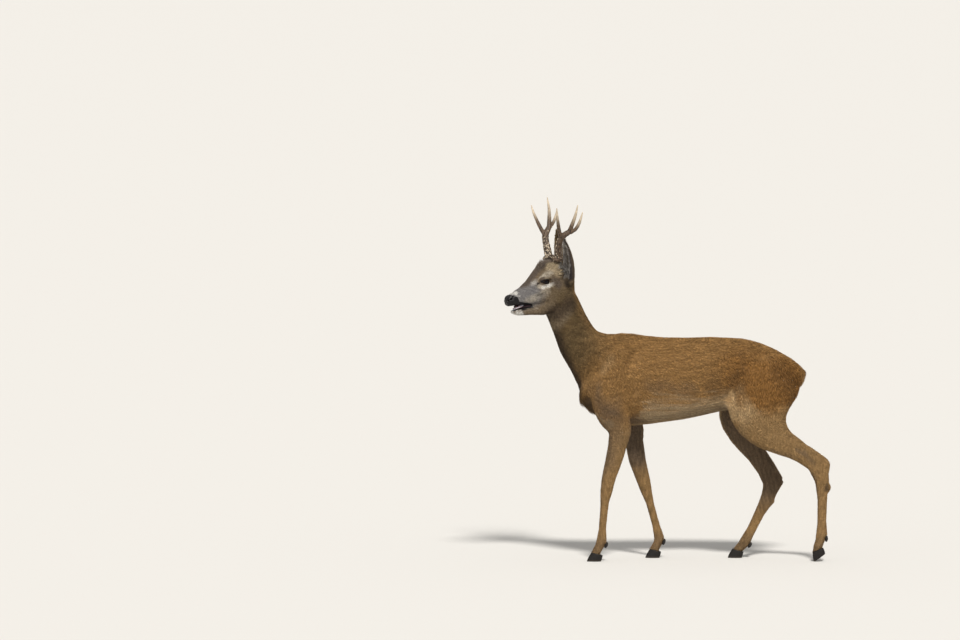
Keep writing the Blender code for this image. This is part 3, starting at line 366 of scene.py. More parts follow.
def copy_of_nodes(nodes, name):
    """A copy of CAD nodes as one object, its loose triangles merged."""
    bpy.ops.object.select_all(action="DESELECT")
    for node in nodes:
        piece = linked(name, frame["nodes"][node].data.copy())
        piece.select_set(True)
        bpy.context.view_layer.objects.active = piece
    if len(nodes) > 1:
        bpy.ops.object.join()
    piece = bpy.context.view_layer.objects.active
    piece.name = piece.data.name = name
    piece.data.materials.clear()
    in_edit_mode(piece, bpy.ops.mesh.remove_doubles, threshold=SAME_PLACE)
    return piece


def grown_together(nodes, name, cell, swelling=0.0, rounds=0):
    """CAD nodes as one finely meshed surface: swollen so that they join, then smoothed."""
    made = copy_of_nodes(nodes, name)
    if swelling:
        finish_with(made, "DISPLACE", strength=swelling, mid_level=0.0, direction="NORMAL")
    finish_with(made, "REMESH", mode="VOXEL", voxel_size=cell)
    if rounds:
        finish_with(made, "SMOOTH", factor=0.5, iterations=rounds)
    return made


def dressed(piece, material):
    """Gives a finished piece its material, smooth shading and body."""
    piece.data.materials.append(material)
    piece.data.shade_smooth()
    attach(piece, "root")


def numbers(items, name, width=3, kind=np.float32):
    """One property of many mesh items as an array."""
    found = np.empty(len(items) * width, kind)
    items.foreach_get(name, found)
    return found.reshape(-1, width) if width > 1 else found


def places(piece):
    """Where the corners of a piece lie."""
    return numbers(piece.data.vertices, "co").astype(float)


def normals_of(piece):
    """The way each corner of a piece faces."""
    return numbers(piece.data.vertex_normals, "vector").astype(float)


def move_to(piece, points):
    """Puts the corners of a piece at new places."""
    piece.data.vertices.foreach_set("co", points.astype(np.float32).ravel())
    piece.data.update()


def weigh(piece, name, weights):
    """A vertex group with a weight for each vertex, in steps of a fiftieth."""
    group = piece.vertex_groups.new(name=name)
    steps = np.round(np.clip(weights, 0.0, 1.0) * 50).astype(int)
    for step in np.unique(steps):
        group.add(np.nonzero(steps == step)[0].tolist(), step / 50.0, "REPLACE")


def paint(piece, colours):
    """Gives each corner its colour."""
    layer = piece.data.color_attributes.new("tint", "FLOAT_COLOR", "POINT")
    full = np.ones((len(colours), 4), np.float32)
    full[:, :3] = colours
    layer.data.foreach_set("color", full.ravel())


def mark(piece, values, name):
    """Gives each corner a number under a name."""
    layer = piece.data.attributes.new(name, "FLOAT", "POINT")
    layer.data.foreach_set("value", np.asarray(values, np.float32))


def ease(low, high, value):
    """0 below low, 1 above high, and a soft step between."""
    share = np.clip((value - low) / (high - low), 0.0, 1.0)
    return share * share * (3.0 - 2.0 * share)


def fade(low, high, value):
    """1 below low, 0 above high."""
    return 1.0 - ease(low, high, value)


def unit(vectors):
    """Each vector at length 1."""
    return vectors / np.maximum(np.linalg.norm(vectors, axis=1, keepdims=True), 1e-9)


def from_stroke(points, start, end):
    """Distance of each point from a straight stroke, and how far along it lies."""
    start, end = np.array(start, float), np.array(end, float)
    along = end - start
    share = np.clip((points - start) @ along / max(along @ along, 1e-12), 0.0, 1.0)
    return np.linalg.norm(points - start - share[:, None] * along, axis=1), share


def ripple(points, wavelength, seed):
    """Soft noise between about -1 and 1."""
    rng = np.random.default_rng(seed)
    total = np.zeros(len(points))
    for _ in range(7):
        heading = rng.normal(size=3)
        heading *= 2.0 * math.pi / wavelength / np.linalg.norm(heading) * rng.uniform(0.6, 1.6)
        total += np.sin(points @ heading + rng.uniform(0.0, 2.0 * math.pi))
    return total / 2.6


def head_matrix():
    """Where the head's frame stands: turned to the left and lowered in front."""
    forward = Vector((-math.cos(HEAD_YAW) * math.cos(HEAD_PITCH),
                      -math.sin(HEAD_YAW) * math.cos(HEAD_PITCH), -math.sin(HEAD_PITCH)))
    left = Vector((math.sin(HEAD_YAW), -math.cos(HEAD_YAW), 0.0))
    matrix = Matrix((forward, left, forward.cross(left))).transposed().to_4x4()
    matrix.translation = HEAD_PIVOT
    return matrix


HEAD = np.array(head_matrix())
HEAD_INVERSE = np.linalg.inv(HEAD)


def in_head(points):
    """Points in the head's frame: forward, to its left, up."""
    return points @ HEAD_INVERSE[:3, :3].T + HEAD_INVERSE[:3, 3]


def to_world(points):
    """Points of the head's frame in the world."""
    return np.asarray(points, float) @ HEAD[:3, :3].T + HEAD[:3, 3]


def folded(points, middle=0.0):
    """Points with both sides laid on one: the second number is the distance from the middle."""
    both = points.copy()
    both[:, 1] = np.abs(both[:, 1] - middle)
    return both


def box_middle(node):
    """The middle of a CAD node's box."""
    low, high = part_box(node)
    return (np.array(low) + np.array(high)) / 2.0


def eye_place(side):
    """The eyeball's middle in the head's frame, laid on the left, and its radius."""
    low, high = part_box("eye_" + side)
    middle = folded(in_head(box_middle("eye_" + side)[None]))[0]
    return middle, (high[2] - low[2]) / 2.0


def ear_line(side):
    """Root and tip of an ear in the world."""
    root = to_world([[EAR_ROOT.x, -SIDES[side] * EAR_ROOT.y, EAR_ROOT.z]])[0]
    low, high = np.array(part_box("ear_" + side))
    tip = np.array([(low[0] + high[0]) / 2, low[1] if side == "left" else high[1], high[2]])
    return root, tip


def ear_cup(points, normals, side):
    """1 on an ear and 0 off it, 1 inside its cup, and how far up it each point lies."""
    root, tip = ear_line(side)
    axis = (tip - root) / np.linalg.norm(tip - root)
    opening = np.array((-math.cos(HEAD_YAW), -math.sin(HEAD_YAW), 0.0))
    opening -= axis * (opening @ axis)
    middle = opening * EAR_CUP
    distance, share = from_stroke(points, root + middle, tip + middle)
    centre = root + middle + share[:, None] * (tip - root)
    inside = ease(-0.05, 0.25, np.sum(unit(centre - points) * normals, axis=1))
    away = on_head(points) * ease(0.04, 0.16, share) * fade(0.034, 0.044, distance)
    return away, inside, share


def on_head(points):
    """1 on the head, 0 on the neck."""
    head = in_head(points)
    forward = head[:, 0] + 0.25 * np.minimum(head[:, 2] + 0.03, 0.0) + 1.2 * np.minimum(
        head[:, 2] + 0.10, 0.0)
    return ease(-0.012, 0.020, forward) * ease(0.66, 0.72, points[:, 2])


# ---------------------------------------------------------------- lie and length of the coat
def coat_segments():
    """Every straight run of the coat: start, end, hair length at each."""
    segments = []

    def add(rows):
        for near, after in zip(rows, rows[1:]):
            segments.append((np.array(near[:3]), np.array(after[:3]), near[3], after[3]))

    for run in BODY_RUNS:
        add([(x, MIDDLE_Y, z, length) for x, _, z, length in run])
    for side, lateral in SIDES.items():
        for run in SIDE_RUNS[side]:
            add([(x, MIDDLE_Y + lateral * y, z, length) for x, y, z, length in run])
        for run in HEAD_RUNS:
            add([(*to_world([[f, -lateral * out, up]])[0], length) for f, out, up, length in run])
        root, tip = ear_line(side)
        add([(*root, EAR_HAIR), (*tip, EAR_HAIR)])
    return segments


def coat_runs(points, normals):
    """The way the hair lies and its length at each point of the skin."""
    heading = np.zeros_like(points)
    length = np.zeros(len(points))
    total = np.zeros(len(points))
    for start, end, near, after in coat_segments():
        distance, share = from_stroke(points, start, end)
        weight = 1.0 / (distance + 0.004) ** 5
        heading += weight[:, None] * (end - start) / np.linalg.norm(end - start)
        length += weight * (near + share * (after - near))
        total += weight
    heading = unit(heading)
    # On the flanks it slopes down as well as back
    trunk = ease(0.40, 0.46, points[:, 2]) * ease(-0.27, -0.20, points[:, 0])
    heading[:, 2] -= 0.45 * trunk * np.abs(normals[:, 1])
    # Round an eye it turns away from the lids
    for side in SIDES:
        eye, _ = eye_place(side)
        head = folded(in_head(points)) - eye
        head[:, 2] -= LID_SLANT * head[:, 0]
        distance = np.linalg.norm(head, axis=1)
        turn = np.exp(-(distance / 0.020) ** 2)[:, None] * unit(head)
        lateral = np.sign(in_head(points)[:, 1])
        turn[:, 1] *= lateral
        heading += 0.45 * turn @ HEAD[:3, :3].T
    heading -= normals * np.sum(heading * normals, axis=1)[:, None]
    return unit(heading), length / total


def coat_depth(length, bare):
    """How far hair of a length stands off the skin."""
    return (0.0005 + 0.15 * length) * (1.0 - bare)


def hair_width(length):
    """A longer tuft is a wider one."""
    return 0.00045 + 0.075 * length


# ---------------------------------------------------------------- markings
# Patches of the head: colour, start, end, radius, softness, strength
FACE_MARKS = [
    ("muzzle", (0.2, 0.0, -0.01), (0.138, 0.018, -0.02), 0.036, 0.5, 1.0),
    ("forehead", (0.142, 0.0, 0.026), (0.06, 0.0, 0.054), 0.025, 0.3, 0.92),
    ("forehead", (0.06, 0.01, 0.052), (0.03, 0.016, 0.052), 0.021, 0.3, 0.92),
    ("temple", (0.06, 0.028, 0.038), (0.038, 0.029, 0.033), 0.013, 0.4, 1.0),
    ("temple", (0.048, 0.034, 0.024), (0.042, 0.035, 0.01), 0.012, 0.5, 0.9),
    ("pale", (0.119, 0.034, 0.0235), (0.08, 0.0385, 0.0245), 0.0048, 0.5, 0.95),
    ("pale", (0.084, 0.041, 0.023), (0.066, 0.041, 0.023), 0.01, 0.6, 0.8),
    ("pale", (0.1147, 0.0365, -0.003), (0.0996, 0.0425, -0.012), 0.0062, 0.5, 0.95),
    ("pale", (0.0996, 0.0425, -0.012), (0.074, 0.0435, -0.011), 0.007, 0.5, 0.95),
    ("pale", (0.074, 0.0435, -0.0095), (0.068, 0.043, 0.002), 0.0036, 0.5, 0.15),
    ("pale", (0.108, 0.04, -0.02), (0.092, 0.043, -0.024), 0.0085, 0.7, 0.45),
    ("white", (0.106, 0.0405, -0.0095), (0.078, 0.0435, -0.01), 0.006, 0.6, 0.75),
    ("white", (0.127, 0.0262, 0.012), (0.118, 0.029, 0.0145), 0.007, 0.8, 0.38),
    ("pale", (0.145, 0.0275, -0.03), (0.133, 0.03, -0.034), 0.011, 0.7, 0.5),
    ("pale", (0.12, 0.0365, -0.028), (0.1, 0.041, -0.034), 0.011, 0.8, 0.28),
    ("neck", (0.08, 0.042, -0.04), (0.062, 0.042, -0.046), 0.016, 0.8, 0.4),
    ("forehead", (0.066, 0.0425, -0.004), (0.054, 0.042, -0.024), 0.0115, 0.6, 0.8),
    ("forehead", (0.115, 0.0335, 0.0078), (0.0925, 0.043, 0.0195), 0.0038, 0.5, 0.9),
    ("dark", (0.115, 0.0335, 0.007), (0.107, 0.037, 0.012), 0.0038, 0.5, 0.8),
    ("pale", (0.152, 0.025, -0.0575), (0.138, 0.028, -0.06), 0.007, 0.45, 0.85),
    ("pale", (0.165, 0.022, -0.03), (0.15, 0.026, -0.034), 0.007, 0.6, 0.4),
    ("neck", (0.06, 0.04, -0.075), (0.02, 0.035, -0.06), 0.026, 0.6, 0.8),
    # painted shadow under the jaw, in the throat's colour
    ("throat", (0.1, 0.018, -0.1), (0.04, 0.026, -0.096), 0.025, 0.6, 0.85),
    ("white", (0.196, 0.003, 0.009), (0.186, 0.011, 0.005), 0.007, 0.35, 0.56),
    ("white", (0.187, 0.011, 0.005), (0.18, 0.0145, -0.008), 0.0055, 0.45, 0.75),
    ("pale", (0.158, 0.0235, -0.049), (0.15, 0.025, -0.052), 0.005, 0.5, 0.7),
    ("white", (0.212, 0.003, -0.054), (0.195, 0.007, -0.062), 0.0125, 0.3, 0.78),
    ("dark", (0.0447, 0.022, 0.0475), (0.0321, 0.025, 0.041), 0.0036, 0.5, 0.9),
    ("dark", (0.0321, 0.025, 0.041), (0.025, 0.0275, 0.0292), 0.0034, 0.5, 0.9),
    ("dark", (0.025, 0.0275, 0.0292), (0.0285, 0.033, 0.0105), 0.0032, 0.5, 0.9),
    ("dark", (0.0285, 0.033, 0.0105), (0.029, 0.0355, 0.003), 0.003, 0.5, 0.7),
    ("dark", (0.035, 0.035, -0.004), (0.03, 0.039, -0.034), 0.0075, 0.7, 0.45),
    ("dark", (0.026, 0.039, -0.028), (0.022, 0.04, -0.046), 0.008, 0.5, 0.55),
]
# Patches of the body at |y| from its middle plane; those noted are painted shade, and one a painted
# highlight
BODY_MARKS = [
    ("thigh", (0.23, 0.085, 0.56), (0.36, 0.075, 0.5), 0.095, 0.5, 0.75),
    ("back", (0.12, 0.105, 0.56), (-0.06, 0.1, 0.58), 0.06, 0.8, 0.5),
    # painted shade on the chest between the forelegs
    ("throat", (-0.26, 0.03, 0.48), (-0.19, 0.045, 0.43), 0.03, 0.5, 0.8),
    ("belly", (-0.237, 0.062, 0.468), (-0.2, 0.078, 0.448), 0.007, 0.6, 0.8),
    ("belly", (-0.2, 0.08, 0.448), (-0.18, 0.085, 0.42), 0.007, 0.6, 0.8),
    ("belly", (-0.092, 0.09, 0.445), (-0.066, 0.095, 0.5), 0.008, 0.6, 0.9),
    ("throat", (-0.062, 0.095, 0.498), (-0.03, 0.1, 0.482), 0.007, 0.8, 0.45),
    ("rump", (0.138, 0.075, 0.502), (0.196, 0.085, 0.46), 0.017, 0.9, 0.95),
    ("rump", (0.195, 0.09, 0.5), (0.25, 0.09, 0.44), 0.036, 0.8, 0.9),
    ("rump", (0.25, 0.09, 0.44), (0.33, 0.085, 0.4), 0.03, 0.8, 0.4),
    ("belly", (0.3, 0.085, 0.42), (0.42, 0.075, 0.33), 0.045, 0.8, 0.4),
    ("throat", (-0.165, 0.1, 0.462), (-0.125, 0.1, 0.44), 0.014, 0.7, 0.45),
    # painted shade in the flank's hollow before the thigh
    ("throat", (0.214, 0.1, 0.65), (0.212, 0.1, 0.545), 0.024, 0.8, 0.32),
    # painted shade along the groove at the rear of the thigh
    ("throat", (0.366, 0.075, 0.56), (0.372, 0.07, 0.43), 0.014, 0.8, 0.25),
    ("back", (-0.225, 0.06, 0.69), (-0.165, 0.06, 0.7), 0.04, 0.8, 0.6),
    ("thigh", (0.36, 0.07, 0.6), (0.4, 0.04, 0.54), 0.04, 0.8, 0.8),
    ("throat", (0.345, 0.085, 0.59), (0.385, 0.07, 0.545), 0.035, 0.8, 0.28),
    # painted shade along the low flank
    ("painted_shade", (-0.09, 0.098, 0.548), (0.07, 0.105, 0.538), 0.018, 0.9, 0.38),
    # painted shade on the upper arm
    ("painted_shade", (-0.22, 0.07, 0.52), (-0.185, 0.09, 0.485), 0.03, 0.8, 0.55),
    ("pale", (-0.09, 0.09, 0.45), (-0.068, 0.095, 0.498), 0.0075, 0.7, 0.55),
    # painted shade in the hollow before the hip
    ("throat", (0.218, 0.09, 0.64), (0.222, 0.1, 0.6), 0.02, 0.9, 0.3),
    # painted shade in the flank's hollow before the stifle
    ("throat", (0.14, 0.1, 0.555), (0.155, 0.1, 0.525), 0.026, 0.9, 0.3),
    # painted highlight along the ridge of the shoulder blade, in the rump patch's buff
    ("rump", (-0.195, 0.08, 0.59), (-0.175, 0.08, 0.64), 0.013, 0.9, 0.3),
]
# The same on the legs, over their own colour: all painted shade, on the near foreleg's upper part, the top
# of the far foreleg, the hind tendon's groove and the underside of the near shank
LEG_MARKS = [
    ("painted_shade", (-0.178, 0.085, 0.45), (-0.185, 0.08, 0.33), 0.04, 0.7, 0.5),
    ("painted_shade", (-0.112, 0.04, 0.44), (-0.09, 0.045, 0.32), 0.032, 0.7, 0.7),
    ("painted_shade", (0.395, 0.08, 0.35), (0.47, 0.078, 0.3), 0.0075, 0.8, 0.6),
    ("painted_shade", (0.32, 0.078, 0.345), (0.45, 0.074, 0.262), 0.011, 0.8, 0.5),
]


def all_over(points, colour):
    """One colour for every point."""
    return np.tile(np.array(colour), (len(points), 1))


def laid_on(colours, colour, mask):
    """Colours mixed with one more, or with another set, by a mask."""
    return colours + mask[:, None] * (np.array(colour) - colours)


def patch_mask(points, start, end, radius, softness):
    """1 inside a soft patch round a stroke, 0 outside."""
    distance, _ = from_stroke(points, start, end)
    return fade(radius * (1.0 - softness), radius * (1.0 + softness), distance)


def bareness(points):
    """1 on the nose pad, lips and inside the mouth, 0 where hair grows."""
    head = folded(in_head(points))
    forward, out, up = head.T
    side = ease(0.004, 0.013, out) * fade(-0.010, 0.005, up)
    pad = ease(-0.0010, 0.0010, forward - (0.2005 - 0.0150 * side)) * ease(-0.047, -0.042, up)
    mouth = -0.0535 + (forward - 0.149) * 0.27
    edge = np.minimum(-0.0520 + 1.07 * (forward - 0.1435), -0.0440 + 0.62 * (forward - 0.1520))
    above = ease(-0.0008, 0.0008, edge - up) * ease(0.0, 0.001, up - mouth)
    below = fade(0.0012, 0.0026, mouth - 0.0050 - up)
    lips = np.where(up > mouth, above, below) * ease(0.1435, 0.1465, forward) * (up > mouth - 0.012)
    inside = ease(0.148, 0.152, forward) * fade(0.0085, 0.0105, np.abs(up - mouth)) * fade(
        0.0105, 0.0125, out)
    spot = patch_mask(head, (0.183, 0.014, -0.0525), (0.169, 0.016, -0.0545), 0.0035, 0.4)
    return np.maximum.reduce((pad, lips, inside, spot)) * on_head(points)


def marked(tint, marks, where):
    """A colour with soft patches laid on it, each in its own."""
    colours = bpy.context.scene.buck_colours
    for name, start, end, radius, softness, strength in marks:
        tint = laid_on(tint, getattr(colours, name),
                       strength * patch_mask(where, start, end, radius, softness))
    return tint


def body_tint(points, normals, wander):
    """Red-brown above; a buff band with a streaked edge low on the side, and a buff belly with painted
    shade under it.
    """
    colours = bpy.context.scene.buck_colours
    body = folded(points, MIDDLE_Y)
    x, _, z = body.T
    tint = marked(all_over(points, colours.back), BODY_MARKS, body + wander[:, None])
    edge = z + 0.014 * ripple(points * (0.10, 1.0, 1.0), 0.014, 4)
    behind_elbow = x - 0.5 * (z - 0.454) + 0.010 * ripple(points * (0.4, 1.0, 1.0), 0.014, 9)
    band = fade(0.466, 0.540, edge) * ease(-0.102, -0.078, behind_elbow) * fade(0.165, 0.205, x)
    stripe = 0.74 + 0.26 * np.clip(ripple(points * (0.09, 1.0, 1.0), 0.010, 8), -1.5, 1.0)
    tint = laid_on(tint, colours.belly, 0.95 * band * stripe * ease(0.385, 0.400, z))
    under = ease(0.35, 0.85, -normals[:, 2]) * ease(0.36, 0.42, z) * ease(-0.10, -0.06, x)
    tint = laid_on(tint, colours.belly, 0.8 * under)
    # Painted shade on the underside, where it faces the floor
    return laid_on(tint, colours.painted_shade, 0.35 * under * ease(0.6, 0.9, -normals[:, 2]))


def leg_tint(tint, points, normals, wander):
    """Ochre legs with painted shade inside, in front and at the feet, and a dark tuft on each hind cannon
    bone.
    """
    colours = bpy.context.scene.buck_colours
    body = folded(points, MIDDLE_Y)
    x, out, z = body.T
    legs = fade(0.385, 0.455, z + wander - 0.06 * ease(0.20, 0.30, x))
    tint = laid_on(tint, colours.leg, 0.9 * legs)
    tint = marked(tint, LEG_MARKS, body + wander[:, None])
    # Painted shade on the inner sides that the far legs show, as where the body's shadow falls on them; it
    # ends higher on a foreleg
    inner = ease(0.2, 0.8, -normals[:, 1] * np.sign(points[:, 1] - MIDDLE_Y)) * ease(0.02, 0.03, out)
    low = np.where(x < 0.10, 0.23, 0.11)         # the shade ends higher on a foreleg
    tint = laid_on(tint, colours.painted_shade, 0.85 * inner * ease(low, low + 0.11, z))
    # Painted shade on the fronts of the legs, by the way they face
    front = ease(0.2, 0.9, -normals[:, 0]) * legs * ease(0.05, 0.20, z)
    tint = laid_on(tint, colours.painted_shade, 0.35 * front)
    # Darker down to the hooves, in the painted shade colour
    tint = laid_on(tint, colours.painted_shade, 0.5 * fade(0.045, 0.10, z))
    for side, (forward, aside, top) in METATARSAL_TUFTS.items():
        on_side = (points[:, 1] - MIDDLE_Y) * SIDES[side] > 0.0
        tint = laid_on(tint, colours.dark, 0.70 * on_side * patch_mask(
            body, (forward, aside, top), (forward - 0.004, aside, top - 0.014), 0.0085, 0.5))
    return tint


def rump_patch(points, normals):
    """1 on the buff patch that looks straight back."""
    out, z = np.abs(points[:, 1] - MIDDLE_Y), points[:, 2]
    return ease(0.74, 0.96, normals[:, 0]) * fade(0.020, 0.042, out) * ease(0.46, 0.50, z) * fade(
        0.560, 0.590, z)


def neck_tint(tint, points, wander):
    """Olive neck; painted light along the nape in the back's red-brown, and dark down the throat, deepened
    by painted shade.
    """
    colours = bpy.context.scene.buck_colours
    body = folded(points, MIDDLE_Y)
    up_neck = points[:, 2] * 0.50 - points[:, 0] * 0.86 + wander
    # Painted light: the nape keeps more of the back's lighter red-brown
    nape = patch_mask(body, (-0.290, 0.0, 0.850), (-0.222, 0.0, 0.712), 0.034, 0.6)
    tint = laid_on(tint, colours.neck, 0.92 * ease(0.440, 0.600, up_neck) * (1.0 - 0.35 * nape))
    # The throat's dark brown, deepened as painted shade
    throat, _ = from_stroke(body, (-0.385, 0.0, 0.79), (-0.275, 0.0, 0.53))
    return laid_on(tint, colours.throat, 0.90 * fade(0.022, 0.060, throat) * ease(0.45, 0.55, body[:, 2]))


def face_tint(points):
    """Grey-brown face with its muzzle, forehead and pale marks."""
    wander = 0.0022 * ripple(points, 0.016, 5)
    face = all_over(points, bpy.context.scene.buck_colours.face)
    return marked(face, FACE_MARKS, folded(in_head(points)) + wander[:, None])


def ear_tint(tint, points, normals, side):
    """A dark back with a darker edge, and pale blotched hair in the cup."""
    colours = bpy.context.scene.buck_colours
    ear, inside, share = ear_cup(points, normals, side)
    tint = laid_on(tint, colours.ear, ear * (1.0 - inside))
    tint = laid_on(tint, colours.dark, 0.6 * ear * (1.0 - inside) * ease(0.55, 0.95, share))
    tint = laid_on(tint, colours.ear_hair, 0.90 * ear * inside * fade(0.024, 0.034, in_head(points)[:, 0]))
    blotch = ease(0.0, 0.6, ripple(points * (1.0, 1.0, 0.35), 0.018, 6)) * ease(0.15, 0.30, share)
    return laid_on(tint, colours.dark, 0.70 * ear * inside * blotch)


def markings(points, normals):
    """The coat's colour at any place, with its painted light and shade, shared by skin and tufts."""
    colours = bpy.context.scene.buck_colours
    wander = 0.010 * ripple(points, 0.060, 3)
    tint = body_tint(points, normals, wander)
    tint = leg_tint(tint, points, normals, wander)
    tint = laid_on(tint, colours.rump, 0.65 * rump_patch(points, normals))
    tint = neck_tint(tint, points, wander)
    tint = laid_on(tint, face_tint(points), on_head(points))
    for side in SIDES:
        tint = ear_tint(tint, points, normals, side)
    for here, ring in about_eyes(points):
        tint = laid_on(tint, colours.bare, here * fade(1.08, 1.26, ring))
    tint = laid_on(tint, colours.bare, bareness(points))
    # Painted shade: nearly black inside the nostril holes
    for start, end, radius, _ in FACE_STROKES[:NOSTRIL_STROKES]:
        hole = patch_mask(folded(in_head(points)), start, end, radius, 0.5)
        tint = tint * (1.0 - 0.9 * on_head(points) * hole)[:, None]
    return tint


# ---------------------------------------------------------------- materials
def new_material(name, **settings):
    """A Principled material with constant sockets set by name."""
    made = bpy.data.materials.new(name)
    made.use_nodes = True
    shader = made.node_tree.nodes["Principled BSDF"]
    for socket, value in settings.items():
        shader.inputs[socket.replace("_", " ")].default_value = value
    return made, made.node_tree, shader


def add_node(tree, kind, **values):
    """A shader node, with its sockets and settings set by name."""
    node = tree.nodes.new(kind)
    for name, value in values.items():
        if name in node.inputs:
            node.inputs[name].default_value = value
        else:
            setattr(node, name, value)
    return node


def noise(tree, scale, detail=2.0, stretch=(1.0, 1.0, 1.0)):
    """Noise on the piece's own place in space."""
    where = add_node(tree, "ShaderNodeTexCoord")
    mapping = add_node(tree, "ShaderNodeMapping", Scale=stretch)
    pattern = add_node(tree, "ShaderNodeTexNoise", Scale=scale, Detail=detail)
    tree.links.new(where.outputs["Object"], mapping.inputs["Vector"])
    tree.links.new(mapping.outputs["Vector"], pattern.inputs["Vector"])
    return pattern.outputs["Fac"]


def spread(tree, value, low, high, start=0.3, end=0.7):
    """A pattern that runs from start to end, as noise mostly does, drawn out between two numbers."""
    node = add_node(tree, "ShaderNodeMapRange", **{
        "From Min": start, "From Max": end, "To Min": low, "To Max": high})
    tree.links.new(value, node.inputs["Value"])
    return node.outputs["Result"]


def tinted(tree, shader, factor):
    """The painted colour, lightened and darkened by a pattern."""
    colour = add_node(tree, "ShaderNodeAttribute", attribute_name="tint")
    scale = add_node(tree, "ShaderNodeVectorMath", operation="SCALE")
    tree.links.new(colour.outputs["Color"], scale.inputs["Vector"])
    tree.links.new(factor, scale.inputs["Scale"])
    tree.links.new(scale.outputs["Vector"], shader.inputs["Base Color"])


def bumped(tree, shader, height, distance, strength=1.0):
    """Fine relief from a pattern."""
    node = add_node(tree, "ShaderNodeBump", Strength=strength, Distance=distance)
    tree.links.new(height, node.inputs["Height"])
    tree.links.new(node.outputs["Normal"], shader.inputs["Normal"])


def mottled_material(name, pattern, shades, relief=None, **settings):
    """A painted material, mottled by one noise and bumped by another.

    The pattern is a noise's scale, detail and stretch, drawn out between two shades; the relief is
    the same for another noise, then how deep and how strong it is."""
    made, tree, shader = new_material(name, **settings)
    tinted(tree, shader, spread(tree, noise(tree, *pattern), *shades))
    if relief:
        grain, *depth = relief
        bumped(tree, shader, noise(tree, *grain), *depth)
    return made


def skin_material():
    """Close hair as fine bump, and moist pebbled skin where the marking says bare."""
    made, tree, shader = new_material("skin", Specular_IOR_Level=0.22)
    tinted(tree, shader, spread(tree, noise(tree, 520.0, 3.0), 0.80, 1.20))
    bare = add_node(tree, "ShaderNodeAttribute", attribute_name="bare")
    tree.links.new(spread(tree, bare.outputs["Fac"], DRY, MOIST, 0.0, 1.0), shader.inputs["Roughness"])
    where = add_node(tree, "ShaderNodeTexCoord")
    pebbles = add_node(tree, "ShaderNodeTexVoronoi", Scale=900.0)
    tree.links.new(where.outputs["Object"], pebbles.inputs["Vector"])
    mixed = add_node(tree, "ShaderNodeMix", data_type="FLOAT")
    tree.links.new(bare.outputs["Fac"], mixed.inputs[0])
    tree.links.new(noise(tree, 900.0, 3.0), mixed.inputs[2])
    tree.links.new(pebbles.outputs["Distance"], mixed.inputs[3])
    bumped(tree, shader, mixed.outputs[0], 0.0004, 0.28)
    return made


# ---------------------------------------------------------------- skin
def softness(points):
    """How far the skin is smoothed: most on the trunk, least on lips, ears and feet."""
    head = in_head(points)
    limbs = 0.10 + 0.90 * ease(0.36, 0.46, points[:, 2])
    face = 0.16 - 0.12 * ease(0.135, 0.150, head[:, 0])
    soft = limbs + on_head(points) * (face - limbs)
    for side in SIDES:
        root, tip = ear_line(side)
        distance, share = from_stroke(points, root, tip)
        soft = np.where((distance < 0.045) & (share > 0.12), np.minimum(soft, 0.09), soft)
    return soft


def apply_strokes(points, normals, where, strokes):
    """Raises and sinks the skin along its normals, each stroke laid down on the skin first."""
    for start, end, radius, height in strokes:
        start, end = (where[np.argmin(np.linalg.norm(where - spot, axis=1))] for spot in (start, end))
        distance, _ = from_stroke(where, start, end)
        points = points + normals * (height * np.exp(-(distance / radius) ** 2))[:, None]
    return points


def lid_places(points, side):
    """Where points lie about an eye: how many lid openings from its middle, and their place."""
    eye, radius = eye_place(side)
    head = in_head(points)
    local = folded(head) - eye
    rise = local[:, 2] - LID_SLANT * local[:, 0]
    ring = np.hypot((local[:, 0] + LID_BACK) / LID_OPENING[0], rise / LID_OPENING[1])
    here = (head[:, 1] * -SIDES[side] > 0.0) & (local[:, 1] > 0.002) & (ring < 2.2)
    return here, ring, local, eye, radius


def about_eyes(points):
    """For each eye: which points lie about it, and how many lid openings from its middle."""
    return [lid_places(points, side)[:2] for side in SIDES]


def open_lids(points):
    """Draws the skin over each eyeball as lids, and sinks it inside their opening."""
    for side in SIDES:
        here, ring, local, eye, radius = lid_places(points, side)
        flat = local[:, 0] ** 2 + local[:, 2] ** 2
        ball = np.sqrt(np.maximum(radius ** 2 - flat, 0.0))
        lid = np.sqrt(np.maximum((radius + LID_THICKNESS) ** 2 - flat, 0.0))
        away = ease(1.12, 1.9, ring)
        target = lid * (1.0 - away) + local[:, 1] * away
        under = ball - UNDER_BALL
        target = under + (target - under) * ease(0.90, 1.00, ring)
        head = in_head(points)
        moved = head.copy()
        moved[:, 1] = np.where(here, -SIDES[side] * (eye[1] + target), head[:, 1])
        points = np.where(here[:, None], to_world(moved), points)
    return points


def fused_flesh():
    """One closed surface round all the flesh, smoothed as much as each part of it is soft."""
    skin = grown_together(FLESH + ["eye_left", "eye_right"], "skin", SKIN_CELL, FUSE)
    weigh(skin, "soft", softness(places(skin)))
    finish_with(skin, "SMOOTH", factor=0.5, iterations=SKIN_ROUNDS, vertex_group="soft")
    skin.vertex_groups.clear()
    return skin


